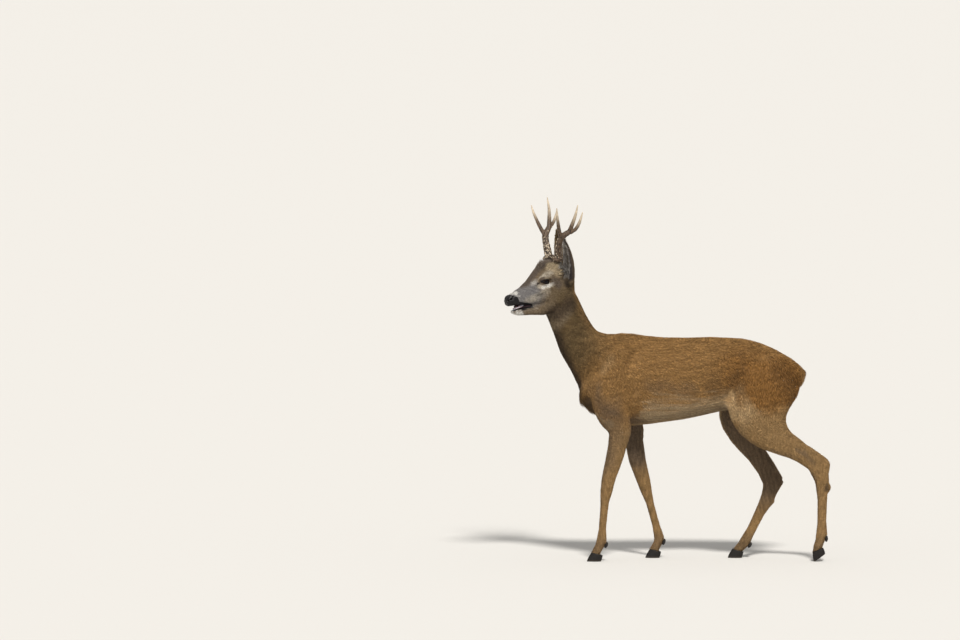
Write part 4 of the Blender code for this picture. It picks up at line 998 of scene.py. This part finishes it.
def refine_face(skin):
    """Splits the faces round the eyes, nose and mouth in four."""
    points = places(skin)
    fine = (in_head(points)[:, 0] > FINE_FRONT) & (on_head(points) > 0.9)
    for here, _ in about_eyes(points):
        fine |= here
    corners = numbers(skin.data.loops, "vertex_index", 1, np.int32)
    first = numbers(skin.data.polygons, "loop_start", 1, np.int32)
    chosen = np.minimum.reduceat(fine[corners].astype(int), first).astype(bool)
    activate(skin)
    bpy.ops.object.mode_set(mode="EDIT")
    bpy.ops.mesh.select_mode(type="FACE")
    bpy.ops.mesh.select_all(action="DESELECT")
    bpy.ops.object.mode_set(mode="OBJECT")
    skin.data.polygons.foreach_set("select", chosen)
    bpy.ops.object.mode_set(mode="EDIT")
    bpy.ops.mesh.subdivide(number_cuts=1)
    bpy.ops.object.mode_set(mode="OBJECT")
    in_edit_mode(skin, bpy.ops.mesh.quads_convert_to_tris)


def thin_body(skin):
    """Collapses the body's faces until the skin has its share of triangles."""
    weigh(skin, "body", 1.0 - on_head(places(skin)))
    finish_with(skin, "DECIMATE", ratio=SKIN_TRIANGLES / len(skin.data.polygons), vertex_group="body",
                vertex_group_factor=1.0)
    skin.vertex_groups.clear()


def shape_skin(skin):
    """Relief of head and body, lids, and room for the coat under the true outline."""
    points, normals = places(skin), normals_of(skin)
    head = folded(in_head(points))
    face = on_head(points)
    shaped = apply_strokes(points, normals * face[:, None], head, FACE_STROKES)
    body_normals = normals * (1.0 - face)[:, None]
    shaped = apply_strokes(shaped, body_normals, folded(points, MIDDLE_Y), BODY_STROKES)
    for side, lateral in SIDES.items():
        on_side = body_normals * ((points[:, 1] - MIDDLE_Y) * lateral > 0.0)[:, None]
        shaped = apply_strokes(shaped, on_side, folded(points, MIDDLE_Y), SIDE_STROKES[side])
    _, length = coat_runs(points, normals)
    depth = coat_depth(length, bareness(points)) + FUSE
    for here, ring in about_eyes(points):
        depth = np.where(here, depth * ease(1.2, 2.0, ring), depth)
    shaped = shaped - normals * depth[:, None]
    move_to(skin, open_lids(shaped))


class OBJECT_OT_buck_skin(bpy.types.Operator):
    """One closed skin over all the flesh, under the coat's depth"""
    bl_idname = "object.buck_skin"
    bl_label = "Skin"

    def execute(self, context):
        skin = fused_flesh()
        refine_face(skin)
        thin_body(skin)
        shape_skin(skin)
        points, normals = places(skin), normals_of(skin)
        paint(skin, markings(points, normals) * SKIN_SHADE)
        mark(skin, bareness(points), "bare")
        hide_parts(*FLESH)
        dressed(skin, skin_material())
        return {"FINISHED"}


# ---------------------------------------------------------------- coat
def skin_faces(skin):
    """Corners of every triangle of the skin, its middle, its normal and its area."""
    corners = numbers(skin.data.loops, "vertex_index", 1, np.int32).reshape(-1, 3)
    middle = places(skin)[corners].mean(axis=1)
    return (corners, middle, numbers(skin.data.polygons, "normal").astype(float),
            numbers(skin.data.polygons, "area", 1).astype(float))


def nearest_nodes(points):
    """The flesh node nearest to each point."""
    corners, faces, owner = [], [], []
    for node in FLESH:
        mesh = frame["nodes"][node].data
        start = len(corners)
        corners.extend(vertex.co.copy() for vertex in mesh.vertices)
        faces.extend([start + corner for corner in face.vertices] for face in mesh.polygons)
        owner.extend([node] * len(mesh.polygons))
    tree = BVHTree.FromPolygons(corners, faces)
    return np.array([owner[tree.find_nearest(point)[2]] for point in points])


def unwrapped(skin, corners, chosen):
    """Places of the chosen faces' corners on an unwrap of that part of the skin."""
    used, renamed = np.unique(corners[chosen], return_inverse=True)
    mesh = bpy.data.meshes.new("patch")
    build_faces(mesh, places(skin)[used], renamed.reshape(-1, 3))
    patch = linked("patch", mesh)
    in_edit_mode(patch, bpy.ops.uv.smart_project, angle_limit=math.radians(72.0), island_margin=0.002)
    flat = numbers(patch.data.uv_layers.active.uv, "vector", 2).astype(float).reshape(-1, 3, 2)
    bpy.data.meshes.remove(mesh)
    low, high = flat.min(axis=(0, 1)), flat.max(axis=(0, 1))
    return 0.01 + 0.98 * (flat - low) / np.maximum(high - low, 1e-6)


def build_faces(mesh, points, faces):
    """Fills a mesh with triangles."""
    mesh.vertices.add(len(points))
    mesh.vertices.foreach_set("co", np.asarray(points, np.float32).ravel())
    mesh.loops.add(faces.size)
    mesh.loops.foreach_set("vertex_index", faces.astype(np.int32).ravel())
    mesh.polygons.add(len(faces))
    mesh.polygons.foreach_set("loop_start", np.arange(0, faces.size, 3, dtype=np.int32))
    mesh.update(calc_edges=True)


def tuft_piece(name, root, normal, lie, length, width, height, root_tint, tip_tint, flat):
    """Every tuft of one coat piece: a closed lock from a sunk root over a wide middle to its tip."""
    side = np.cross(normal, lie)
    wide = root + lie * (WIDEST * length)[:, None] + normal * (0.55 * height)[:, None]
    half = side * (0.5 * width)[:, None]
    thick = normal * (0.15 * width)[:, None]
    rings = (root - normal * SINK, wide + half - 0.5 * thick, wide - half - 0.5 * thick, wide + thick,
             root + lie * length[:, None] + normal * height[:, None])
    points = np.stack(rings, axis=1)
    count = len(root)
    faces = TUFT_FACES[None] + 5 * np.arange(count)[:, None, None]
    mesh = bpy.data.meshes.new(name)
    build_faces(mesh, points.reshape(-1, 3), faces.reshape(-1, 3))

    made = linked(name, mesh)
    middle_tint = 0.35 * root_tint + 0.65 * tip_tint
    paint(made, np.stack((root_tint * 0.86, middle_tint, middle_tint, middle_tint, tip_tint),
                         axis=1).reshape(-1, 3))
    offsets = BAKE_PATCH * np.array([(-1.0, 0.0), (0.0, 1.0), (0.0, -1.0), (0.2, 0.0), (1.0, 0.0)])
    layer = mesh.uv_layers.new(name="OFBake")
    placed = np.clip(flat[:, None] + offsets, 0.0, 1.0)[:, TUFT_FACES]
    layer.uv.foreach_set("vector", placed.astype(np.float32).ravel())
    return made


def sown(area, chosen, density, count, rng):
    """Faces and places in them for evenly strewn roots."""
    share = np.cumsum(area[chosen] * density)
    spots = (np.arange(count) + rng.random(count)) / count * share[-1]
    picked = np.minimum(np.searchsorted(share, spots), len(share) - 1)
    weights = rng.random((count, 2))
    over = weights.sum(axis=1) > 1.0
    weights[over] = 1.0 - weights[over]
    return picked, np.column_stack((1.0 - weights.sum(axis=1), weights))


def no_hair(points):
    """True where nothing grows: bare skin, and the lids' edges with all between them."""
    bald = bareness(points) > NO_TUFTS
    for here, ring in about_eyes(points):
        bald |= here & (ring < 1.16)
    return bald


def raised_hair(points, normals, rng):
    """Where hair is longer and stands up: extra length, share and lift for each such place.

    The places are the cups of the ears, the crest between the antlers, the breast and the fringe
    over the hooves."""
    found = []
    for side in SIDES:
        ear, inside, _ = ear_cup(points, normals, side)
        found.append((1.6, ear * inside * (rng.random(len(points)) < LONG_IN_EAR), 0.5))
    head = folded(in_head(points))
    crest, _ = from_stroke(head, (0.070, 0.0, 0.046), (0.034, 0.010, 0.052))
    crest = fade(0.008, 0.030, crest) * on_head(points)
    breast, _ = from_stroke(folded(points, MIDDLE_Y), (-0.275, 0.0, 0.560), (-0.255, 0.0, 0.480))
    breast = fade(0.015, 0.045, breast)
    fringe = fade(0.026, 0.040, points[:, 2])
    return found + [(1.1, crest, 1.0), (0.5, breast, 0.25), (0.9, fringe, 0.0)]


def face_hairs(middle, face_normals, flat, rng):
    """Whiskers of the muzzle and chin and lashes of the upper lids, as rows like the coat's."""
    spots, ways, lengths = [], [], []
    for side, lateral in SIDES.items():
        for forward, out, up in WHISKERS:
            for _ in range(WHISKERS_EACH):
                spots.append((forward + rng.normal(scale=0.004), -lateral * out,
                              up + rng.normal(scale=0.003)))
                ways.append((-0.6, -lateral * (0.9 + 0.3 * rng.random()), -0.5 * rng.random()))
                lengths.append(rng.uniform(*WHISKER_LENGTH))
        eye, radius = eye_place(side)
        for turn in np.linspace(0.15, 0.85, LASHES) * math.pi:
            along = LASH_LINE * LID_OPENING[0] * math.cos(turn) - LID_BACK
            rise = LASH_LINE * LID_OPENING[1] * math.sin(turn)
            spots.append((eye[0] + along, -lateral * (eye[1] + radius), eye[2] + rise + LID_SLANT * along))
            ways.append((0.5 * math.cos(turn), -lateral, 0.35))
            lengths.append(rng.uniform(*LASH_LENGTH))
    spots = to_world(spots)
    found = np.array([np.argmin(np.linalg.norm(middle - spot, axis=1)) for spot in spots])
    lengths = np.array(lengths)
    tint = all_over(spots, bpy.context.scene.buck_colours.bare) * 1.5
    ways = unit(np.array(ways) @ HEAD[:3, :3].T)
    return (middle[found], face_normals[found], ways, lengths, np.full(len(spots), HAIR_THICK),
            np.zeros(len(spots)), tint, tint, flat[found])


def grow_coat(skin, name, chosen, count, looseness, seed, material):
    """Strews tufts over some faces of the skin, each lying along the coat.

    Roots are as dense as tufts of their length need to overlap; then each gets its way, size and
    colour, a little unlike its neighbours'."""
    coat = bpy.context.scene.buck_coat
    rng = np.random.default_rng(seed)
    corners, middle, face_normals, area = skin_faces(skin)
    flat = unwrapped(skin, corners, chosen)
    _, length = coat_runs(middle[chosen], face_normals[chosen])
    density = 1.0 / (length * hair_width(length) + 2.0e-6)
    density[no_hair(middle[chosen])] = 0.0
    count = max(int(count * coat.fullness), 10)
    picked, weights = sown(area, chosen, density, count, rng)
    face = np.nonzero(chosen)[0][picked]
    root = np.einsum("nk,nkd->nd", weights, places(skin)[corners[face]])
    normal = unit(np.einsum("nk,nkd->nd", weights, normals_of(skin)[corners[face]]))
    place = np.einsum("nk,nkd->nd", weights, flat[picked])

    lie, length = coat_runs(root, normal)
    tint = markings(root, normal)
    height = coat_depth(length, bareness(root))
    standing = np.zeros(count)
    for extra, share, lift in raised_hair(root, normal, rng):
        length = length * (1.0 + extra * share)
        standing = np.maximum(standing, lift * share)
    side_ways = np.cross(normal, lie)
    sway = looseness * (0.5 * ripple(root, 0.080, seed + 1) + rng.normal(size=count))
    lie = unit(lie + side_ways * sway[:, None] + normal * standing[:, None])
    length = length * coat.length * rng.uniform(*LENGTHS, count)
    height = height * rng.uniform(*HEIGHTS, count)
    width = hair_width(length) * rng.uniform(*WIDTHS, count)
    lightness = 1.0 + coat.variety * (streaks(root, seed + 2) + rng.normal(scale=0.7, size=count))
    tint = tint * np.clip(lightness, 0.45, 1.7)[:, None]
    pale = 1.0 + PALER * (rng.random(count) < PALE_TIPS)
    rows = [root, normal, lie, length, width, height, tint * 0.94,
            np.clip(tint * 1.05 * pale[:, None], 0.0, 0.9), place]
    if name == "coat_head":
        hairs = face_hairs(middle[chosen], face_normals[chosen], flat.mean(axis=1), rng)
        rows = [np.concatenate(pair) for pair in zip(rows, hairs)]
    made = tuft_piece(name, *rows)
    made.data.materials.append(material)
    return made


def streaks(points, seed):
    """Noise drawn out along the trunk and down the limbs."""
    low = fade(0.36, 0.46, points[:, 2])
    head = on_head(points)
    along = ripple(points * (0.13, 1.0, 1.0), 0.0110, seed)
    down = ripple(points * (1.0, 1.0, 0.20), 0.0080, seed)
    fine = ripple(points, 0.0060, seed)
    return 1.4 * head * fine + (1.0 - head) * (low * down + (1.0 - low) * along)


class OBJECT_OT_buck_coat(bpy.types.Operator):
    """Tufts over the whole skin, lying as the hair runs"""
    bl_idname = "object.buck_coat"
    bl_label = "Coat"

    def execute(self, context):
        skin = bpy.data.objects["skin"]
        _, middle, _, _ = skin_faces(skin)
        owner = nearest_nodes(middle)
        material = mottled_material(
            "coat_hair", (260.0,), (0.86, 1.14), Roughness=0.66, Specular_IOR_Level=0.10)
        for seed, (name, nodes, lateral, count, looseness, slot) in enumerate(COATS):
            chosen = np.isin(owner, nodes)
            if lateral:
                chosen &= (middle[:, 1] - MIDDLE_Y) * lateral > 0.0
            made = grow_coat(skin, name, chosen, count, looseness, 100 + 10 * seed, material)
            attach(made, "root")
        return {"FINISHED"}


# ---------------------------------------------------------------- eyes
def eye_frame(side):
    """Turns places about an eye (forward, outward, up) into places in the world."""
    eye, radius = eye_place(side)

    def place(local):
        head = local + eye
        head[:, 1] *= -SIDES[side]
        return to_world(head)
    return place, radius


def eyeball(side):
    """A ball with a bulging cornea, brown iris and a long dark pupil."""
    place, radius = eye_frame(side)
    bpy.ops.mesh.primitive_uv_sphere_add(segments=64, ring_count=48, radius=1.0)
    ball = bpy.context.object
    ball.name = ball.data.name = "eyeball_" + side
    local = places(ball)[:, [0, 2, 1]]
    facing = local[:, 1]
    bulge = 1.0 + CORNEA * ease(0.80, 0.90, facing)
    shape = local * radius * bulge[:, None]
    move_to(ball, place(shape))
    pupil = np.hypot(local[:, 0] / 0.42, local[:, 2] / 0.26)
    iris = np.hypot(local[:, 0], local[:, 2])
    fibres = 0.75 + 0.25 * np.sin(46.0 * np.arctan2(local[:, 2], local[:, 0]))
    tint = all_over(local, IRIS) * fibres[:, None]
    tint = laid_on(tint, PUPIL, fade(0.9, 1.1, pupil))
    tint = laid_on(tint, EYE_EDGE, ease(0.58, 0.66, iris))
    paint(ball, tint)
    return ball


def lid_rim(side):
    """The dark wet edge of the lids, pointed towards the nose."""
    place, radius = eye_frame(side)
    bpy.ops.mesh.primitive_torus_add(major_segments=72, minor_segments=10, major_radius=1.0,
                                     minor_radius=RIM_THICKNESS)
    rim = bpy.context.object
    rim.name = rim.data.name = "lid_rim_" + side
    ring = places(rim)
    turn = np.arctan2(ring[:, 1], ring[:, 0])
    spread_out = np.hypot(ring[:, 0], ring[:, 1]) - 1.0
    half_long = LID_OPENING[0] * (1.0 + 0.10 * ease(0.8, 1.0, np.cos(turn)))
    local = np.column_stack((np.cos(turn) * (half_long + spread_out), ring[:, 2],
                             np.sin(turn) * (LID_OPENING[1] + spread_out)))
    local[:, 0] -= LID_BACK
    local[:, 2] += LID_SLANT * local[:, 0]
    local[:, 1] += np.sqrt(np.maximum(
        (radius + RIM_MIDDLE) ** 2 - local[:, 0] ** 2 - local[:, 2] ** 2, 0.0))
    move_to(rim, place(local))
    paint(rim, all_over(local, LID_EDGE))
    return rim


class OBJECT_OT_buck_eyes(bpy.types.Operator):
    """Both eyes with the dark rims of their lids"""
    bl_idname = "object.buck_eyes"
    bl_label = "Eyes"

    def execute(self, context):
        eye = mottled_material("eye", (900.0,), (0.85, 1.15), Roughness=0.05, Specular_IOR_Level=0.14)
        lid = mottled_material("eyelid", (1200.0,), (0.7, 1.3), ((1500.0,), 0.0002),
                               Roughness=0.55, Specular_IOR_Level=0.15)
        for side in SIDES:
            for made, material in ((eyeball(side), eye), (lid_rim(side), lid)):
                outward(made)
                dressed(made, material)
            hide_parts("eye_" + side)
        return {"FINISHED"}


# ---------------------------------------------------------------- antlers
def antler(side, seed):
    """Burr, beam and three tines grown together, pearled below and polished at the ends."""
    horn = bpy.context.scene.buck_horn
    tines = ["antler_%s_%s_tine" % (side, name) for name in ("front", "rear", "top")]
    beam = "antler_%s_beam" % side
    made = grown_together([beam] + tines, "antler_" + side, ANTLER_CELL, swelling=0.0003, rounds=8)
    points, normals = places(made), normals_of(made)
    low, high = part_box(beam)
    rise = (points[:, 2] - low[2]) / (high[2] - low[2])
    ends = [max((vertex.co for vertex in frame["nodes"][node].data.vertices), key=lambda co: co.z)
            for node in tines]
    to_end = np.min([np.linalg.norm(points - np.array(end), axis=1) for end in ends], axis=0)
    polished = fade(0.012, 0.050, to_end)

    # Pearls crowd low on the beams and on their inner sides
    rng = np.random.default_rng(seed)
    inward = normals @ HEAD[:3, 1] * SIDES[side]
    chance = fade(0.25, 0.95, rise) ** 1.5 * (1.0 - polished) + 0.02 * (1.0 - polished)
    chance = chance * (0.12 + 0.88 * ease(-0.6, 0.4, inward))
    pearls = rng.choice(len(points), size=PEARLS, replace=False, p=chance / chance.sum())
    pearl = np.zeros(len(points))
    for spot in pearls:
        radius = rng.uniform(*PEARL_RADIUS)
        distance = np.linalg.norm(points - points[spot], axis=1)
        pearl = np.maximum(pearl, rng.uniform(0.5, 1.0) * np.exp(-(distance / radius) ** 2))
    grain = ripple(points * (1.0, 1.0, 0.16), 0.0042, seed + 1)
    furrow = ease(0.1, 0.9, -grain) * (1.0 - polished)
    rosette = fade(0.09, 0.14, rise) * ripple(points, 0.0060, seed + 2)
    height = horn.pearling * pearl - FURROW_DEPTH * furrow + ROSETTE_HEIGHT * rosette
    move_to(made, points + normals * (height * (1.0 - 0.9 * polished))[:, None])

    # Dark furrows and blotches, pale pearls and ends
    tint = all_over(points, horn.bone) * (1.0 - 0.85 * furrow)[:, None]
    blotch = ease(-0.4, 0.4, ripple(points, 0.012, seed + 3)) * fade(0.40, 0.85, rise)
    blotch = blotch * (0.35 + 0.65 * ease(-0.4, 0.5, inward))
    tint = laid_on(tint, np.array(horn.bone) * 0.15, 0.9 * blotch * fade(0.15, 0.35, pearl))
    tint = laid_on(tint, horn.tip, 0.92 * ease(0.30, 0.75, pearl))
    tint = laid_on(tint, horn.tip, 0.9 * fade(0.012, 0.062, to_end))
    paint(made, tint)
    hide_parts(beam, *tines)
    return made


class OBJECT_OT_buck_antlers(bpy.types.Operator):
    """Both antlers of three points, with pearls and furrows"""
    bl_idname = "object.buck_antlers"
    bl_label = "Antlers"

    def execute(self, context):
        material = mottled_material(
            "antler", (420.0, 4.0, (1.0, 1.0, 0.25)), (0.72, 1.28),
            ((700.0, 3.0, (1.0, 1.0, 0.3)), 0.0005, 0.7), Roughness=0.52, Specular_IOR_Level=0.45)
        for seed, side in enumerate(SIDES):
            dressed(antler(side, 40 + 10 * seed), material)
        return {"FINISHED"}


# ---------------------------------------------------------------- hooves
def horn_piece(node, rings):
    """A hoof or dewclaw with its growth rings; what is flat on the ground stays flat."""
    horn = bpy.context.scene.buck_horn
    made = grown_together([node], "horn_" + node, HORN_CELL, rounds=14)
    points, normals = places(made), normals_of(made)
    low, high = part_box(node)
    above = points[:, 2] - low[2]
    uneven = 0.0006 * ripple(points, 0.012, 21)
    ring = np.sin(2.0 * math.pi * (above + 0.15 * points[:, 0] + uneven) / RING_GAP)
    sole = fade(0.0008, 0.0030, above)
    points = points + normals * (rings * ring * (1.0 - sole))[:, None]
    points[:, 2] = np.clip(points[:, 2], low[2], high[2])
    move_to(made, points)
    tint = all_over(points, horn.hoof) * (1.0 + 0.12 * ring)[:, None]
    tint = laid_on(tint, WORN_HORN, 0.45 * fade(0.0, 0.006, above) * (rings > 0.0))
    paint(made, tint)
    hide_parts(node)
    return made


class OBJECT_OT_buck_hooves(bpy.types.Operator):
    """Eight hooves and eight dewclaws of dark horn"""
    bl_idname = "object.buck_hooves"
    bl_label = "Hooves"

    def execute(self, context):
        material = mottled_material(
            "hoof_horn", (300.0, 4.0, (1.0, 1.0, 0.4)), (0.8, 1.25), ((800.0, 3.0), 0.0003, 0.6),
            Roughness=0.50, Specular_IOR_Level=0.22)
        for foot in FEET:
            for half in ("inner", "outer"):
                for kind, rings in (("hoof", RING_HEIGHT), ("dewclaw", 0.0)):
                    made = horn_piece("%s_%s_%s" % (kind, foot, half), rings)
                    dressed(made, material)
        return {"FINISHED"}


# ---------------------------------------------------------------- tongue
class OBJECT_OT_buck_tongue(bpy.types.Operator):
    """The tongue that shows in the open mouth"""
    bl_idname = "object.buck_tongue"
    bl_label = "Tongue"

    def execute(self, context):
        horn = context.scene.buck_horn
        made = grown_together(["tongue"], "tongue_flesh", TONGUE_CELL, rounds=8)
        points, normals = places(made), normals_of(made)
        head = in_head(points)
        groove = np.exp(-(head[:, 1] / 0.0016) ** 2) * ease(0.0, 0.5, normals @ HEAD[:3, 2])
        move_to(made, points + normals * (0.0011 - 0.0010 * groove)[:, None])
        # The groove is painted darker as well: painted shade along it
        paint(made, all_over(points, horn.tongue) * (1.0 - 0.3 * groove)[:, None])
        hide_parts("tongue")
        dressed(made, mottled_material("tongue", (900.0,), (0.85, 1.15), ((1600.0,), 0.0003),
                                       Roughness=0.34, Subsurface_Weight=0.15))
        return {"FINISHED"}


class OBJECT_OT_buck_mouth(bpy.types.Operator):
    """The dark flesh between the jaws, wide at the corners of the mouth and narrow in front"""
    bl_idname = "object.buck_mouth"
    bl_label = "Mouth"

    def execute(self, context):
        bpy.ops.mesh.primitive_uv_sphere_add(segments=48, ring_count=32, radius=1.0)
        made = context.object
        made.name = made.data.name = "mouth_lining"
        along, out, up = places(made)[:, [2, 0, 1]].T
        square = np.maximum(1.0 - along ** 2, 0.02) ** -0.25
        forward = MOUTH_MIDDLE[0] + 0.027 * along
        half_width = 0.0085 - 0.0062 * along
        half_height = 0.0062 + 0.0031 * along
        folds = 1.0 + 0.06 * np.sin(2.0 * math.pi * forward / 0.0042)
        middle = MOUTH_MIDDLE[1] + 0.275 * (forward - MOUTH_MIDDLE[0])
        move_to(made, to_world(np.column_stack((
            forward, out * square * half_width * folds, middle + up * square * half_height))))
        outward(made)
        paint(made, laid_on(all_over(forward, MOUTH_FRONT), MOUTH_REAR, ease(0.3, 1.0, -along)))
        dressed(made, mottled_material("mouth_lining", (700.0,), (0.75, 1.25), ((1200.0,), 0.0003),
                                       Roughness=0.40, Specular_IOR_Level=0.25))
        return {"FINISHED"}


# ---------------------------------------------------------------- studio
class OBJECT_OT_buck_studio(bpy.types.Operator):
    """Camera, soft light and a plain pale floor"""
    bl_idname = "object.buck_studio"
    bl_label = "Studio"

    def execute(self, context):
        settings = context.scene.buck_studio
        aim = Vector((CAD_BOX[0][0] - 0.0733, MIDDLE_Y, 0.741))      # a little before the nose
        lens = bpy.data.cameras.new("camera")
        lens.lens, lens.sensor_width, lens.clip_end = 365.0, 36.0, 200.0
        camera = linked("camera", lens)
        away = Vector((0.0, -math.cos(CAMERA_RISE), math.sin(CAMERA_RISE)))
        camera.location = aim + away * CAMERA_DISTANCE
        camera.rotation_euler = away.to_track_quat("Z", "Y").to_euler()
        context.scene.camera = camera

        bpy.ops.mesh.primitive_circle_add(vertices=96, radius=90.0, fill_type="NGON")
        floor = context.object
        floor.name = "floor"
        made, _, shader = new_material("floor", Roughness=0.9, Specular_IOR_Level=0.1)
        shader.inputs["Base Color"].default_value = (*settings.floor, 1.0)
        floor.data.materials.append(made)

        for name, energy, spread_angle, colour, towards in (
                ("key", settings.key, 10.0, (1.0, 0.965, 0.91), (0.12, -0.64, 0.72)),
                ("glint", 0.25, 20.0, (1.0, 1.0, 1.0), (-0.60, -0.80, 0.14))):
            light = bpy.data.lights.new(name, "SUN")
            light.energy, light.angle, light.color = energy, math.radians(spread_angle), colour
            lamp = linked(name, light)
            lamp.rotation_euler = Vector(towards).to_track_quat("Z", "Y").to_euler()
        world = bpy.data.worlds.new("studio")
        world.use_nodes = True
        sky = world.node_tree.nodes["Background"]
        sky.inputs["Color"].default_value = (1.0, 0.985, 0.955, 1.0)
        sky.inputs["Strength"].default_value = settings.fill
        context.scene.world = world
        context.scene.view_settings.view_transform = "Standard"
        return {"FINISHED"}


STEPS = (OBJECT_OT_buck_studio, OBJECT_OT_buck_skin, OBJECT_OT_buck_coat, OBJECT_OT_buck_eyes,
         OBJECT_OT_buck_antlers, OBJECT_OT_buck_hooves, OBJECT_OT_buck_tongue, OBJECT_OT_buck_mouth)


class VIEW3D_PT_roe_buck(bpy.types.Panel):
    """Lists what makes the buck"""
    bl_idname = "VIEW3D_PT_roe_buck"
    bl_label = "Roe Buck"
    bl_space_type = "VIEW_3D"
    bl_region_type = "UI"
    bl_category = "Roe Buck"

    def draw(self, context):
        for group, kind in SETTINGS.items():
            column = self.layout.column(align=True)
            for name in kind.__annotations__:
                column.prop(getattr(context.scene, group), name)
        for step in STEPS:
            self.layout.operator(step.bl_idname)


CLASSES = (*SETTINGS.values(), *STEPS, VIEW3D_PT_roe_buck)


def register():
    for each in CLASSES:
        bpy.utils.register_class(each)
    for name, kind in SETTINGS.items():
        setattr(bpy.types.Scene, name, bpy.props.PointerProperty(type=kind))


def unregister():
    for name in SETTINGS:
        delattr(bpy.types.Scene, name)
    for each in reversed(CLASSES):
        bpy.utils.unregister_class(each)


def main():
    register()
    bpy.ops.object.buck_studio()
    bpy.ops.object.buck_skin()
    bpy.ops.object.buck_coat()
    bpy.ops.object.buck_eyes()
    bpy.ops.object.buck_antlers()
    bpy.ops.object.buck_hooves()
    bpy.ops.object.buck_tongue()
    bpy.ops.object.buck_mouth()


if __name__ == "__main__":
    main()
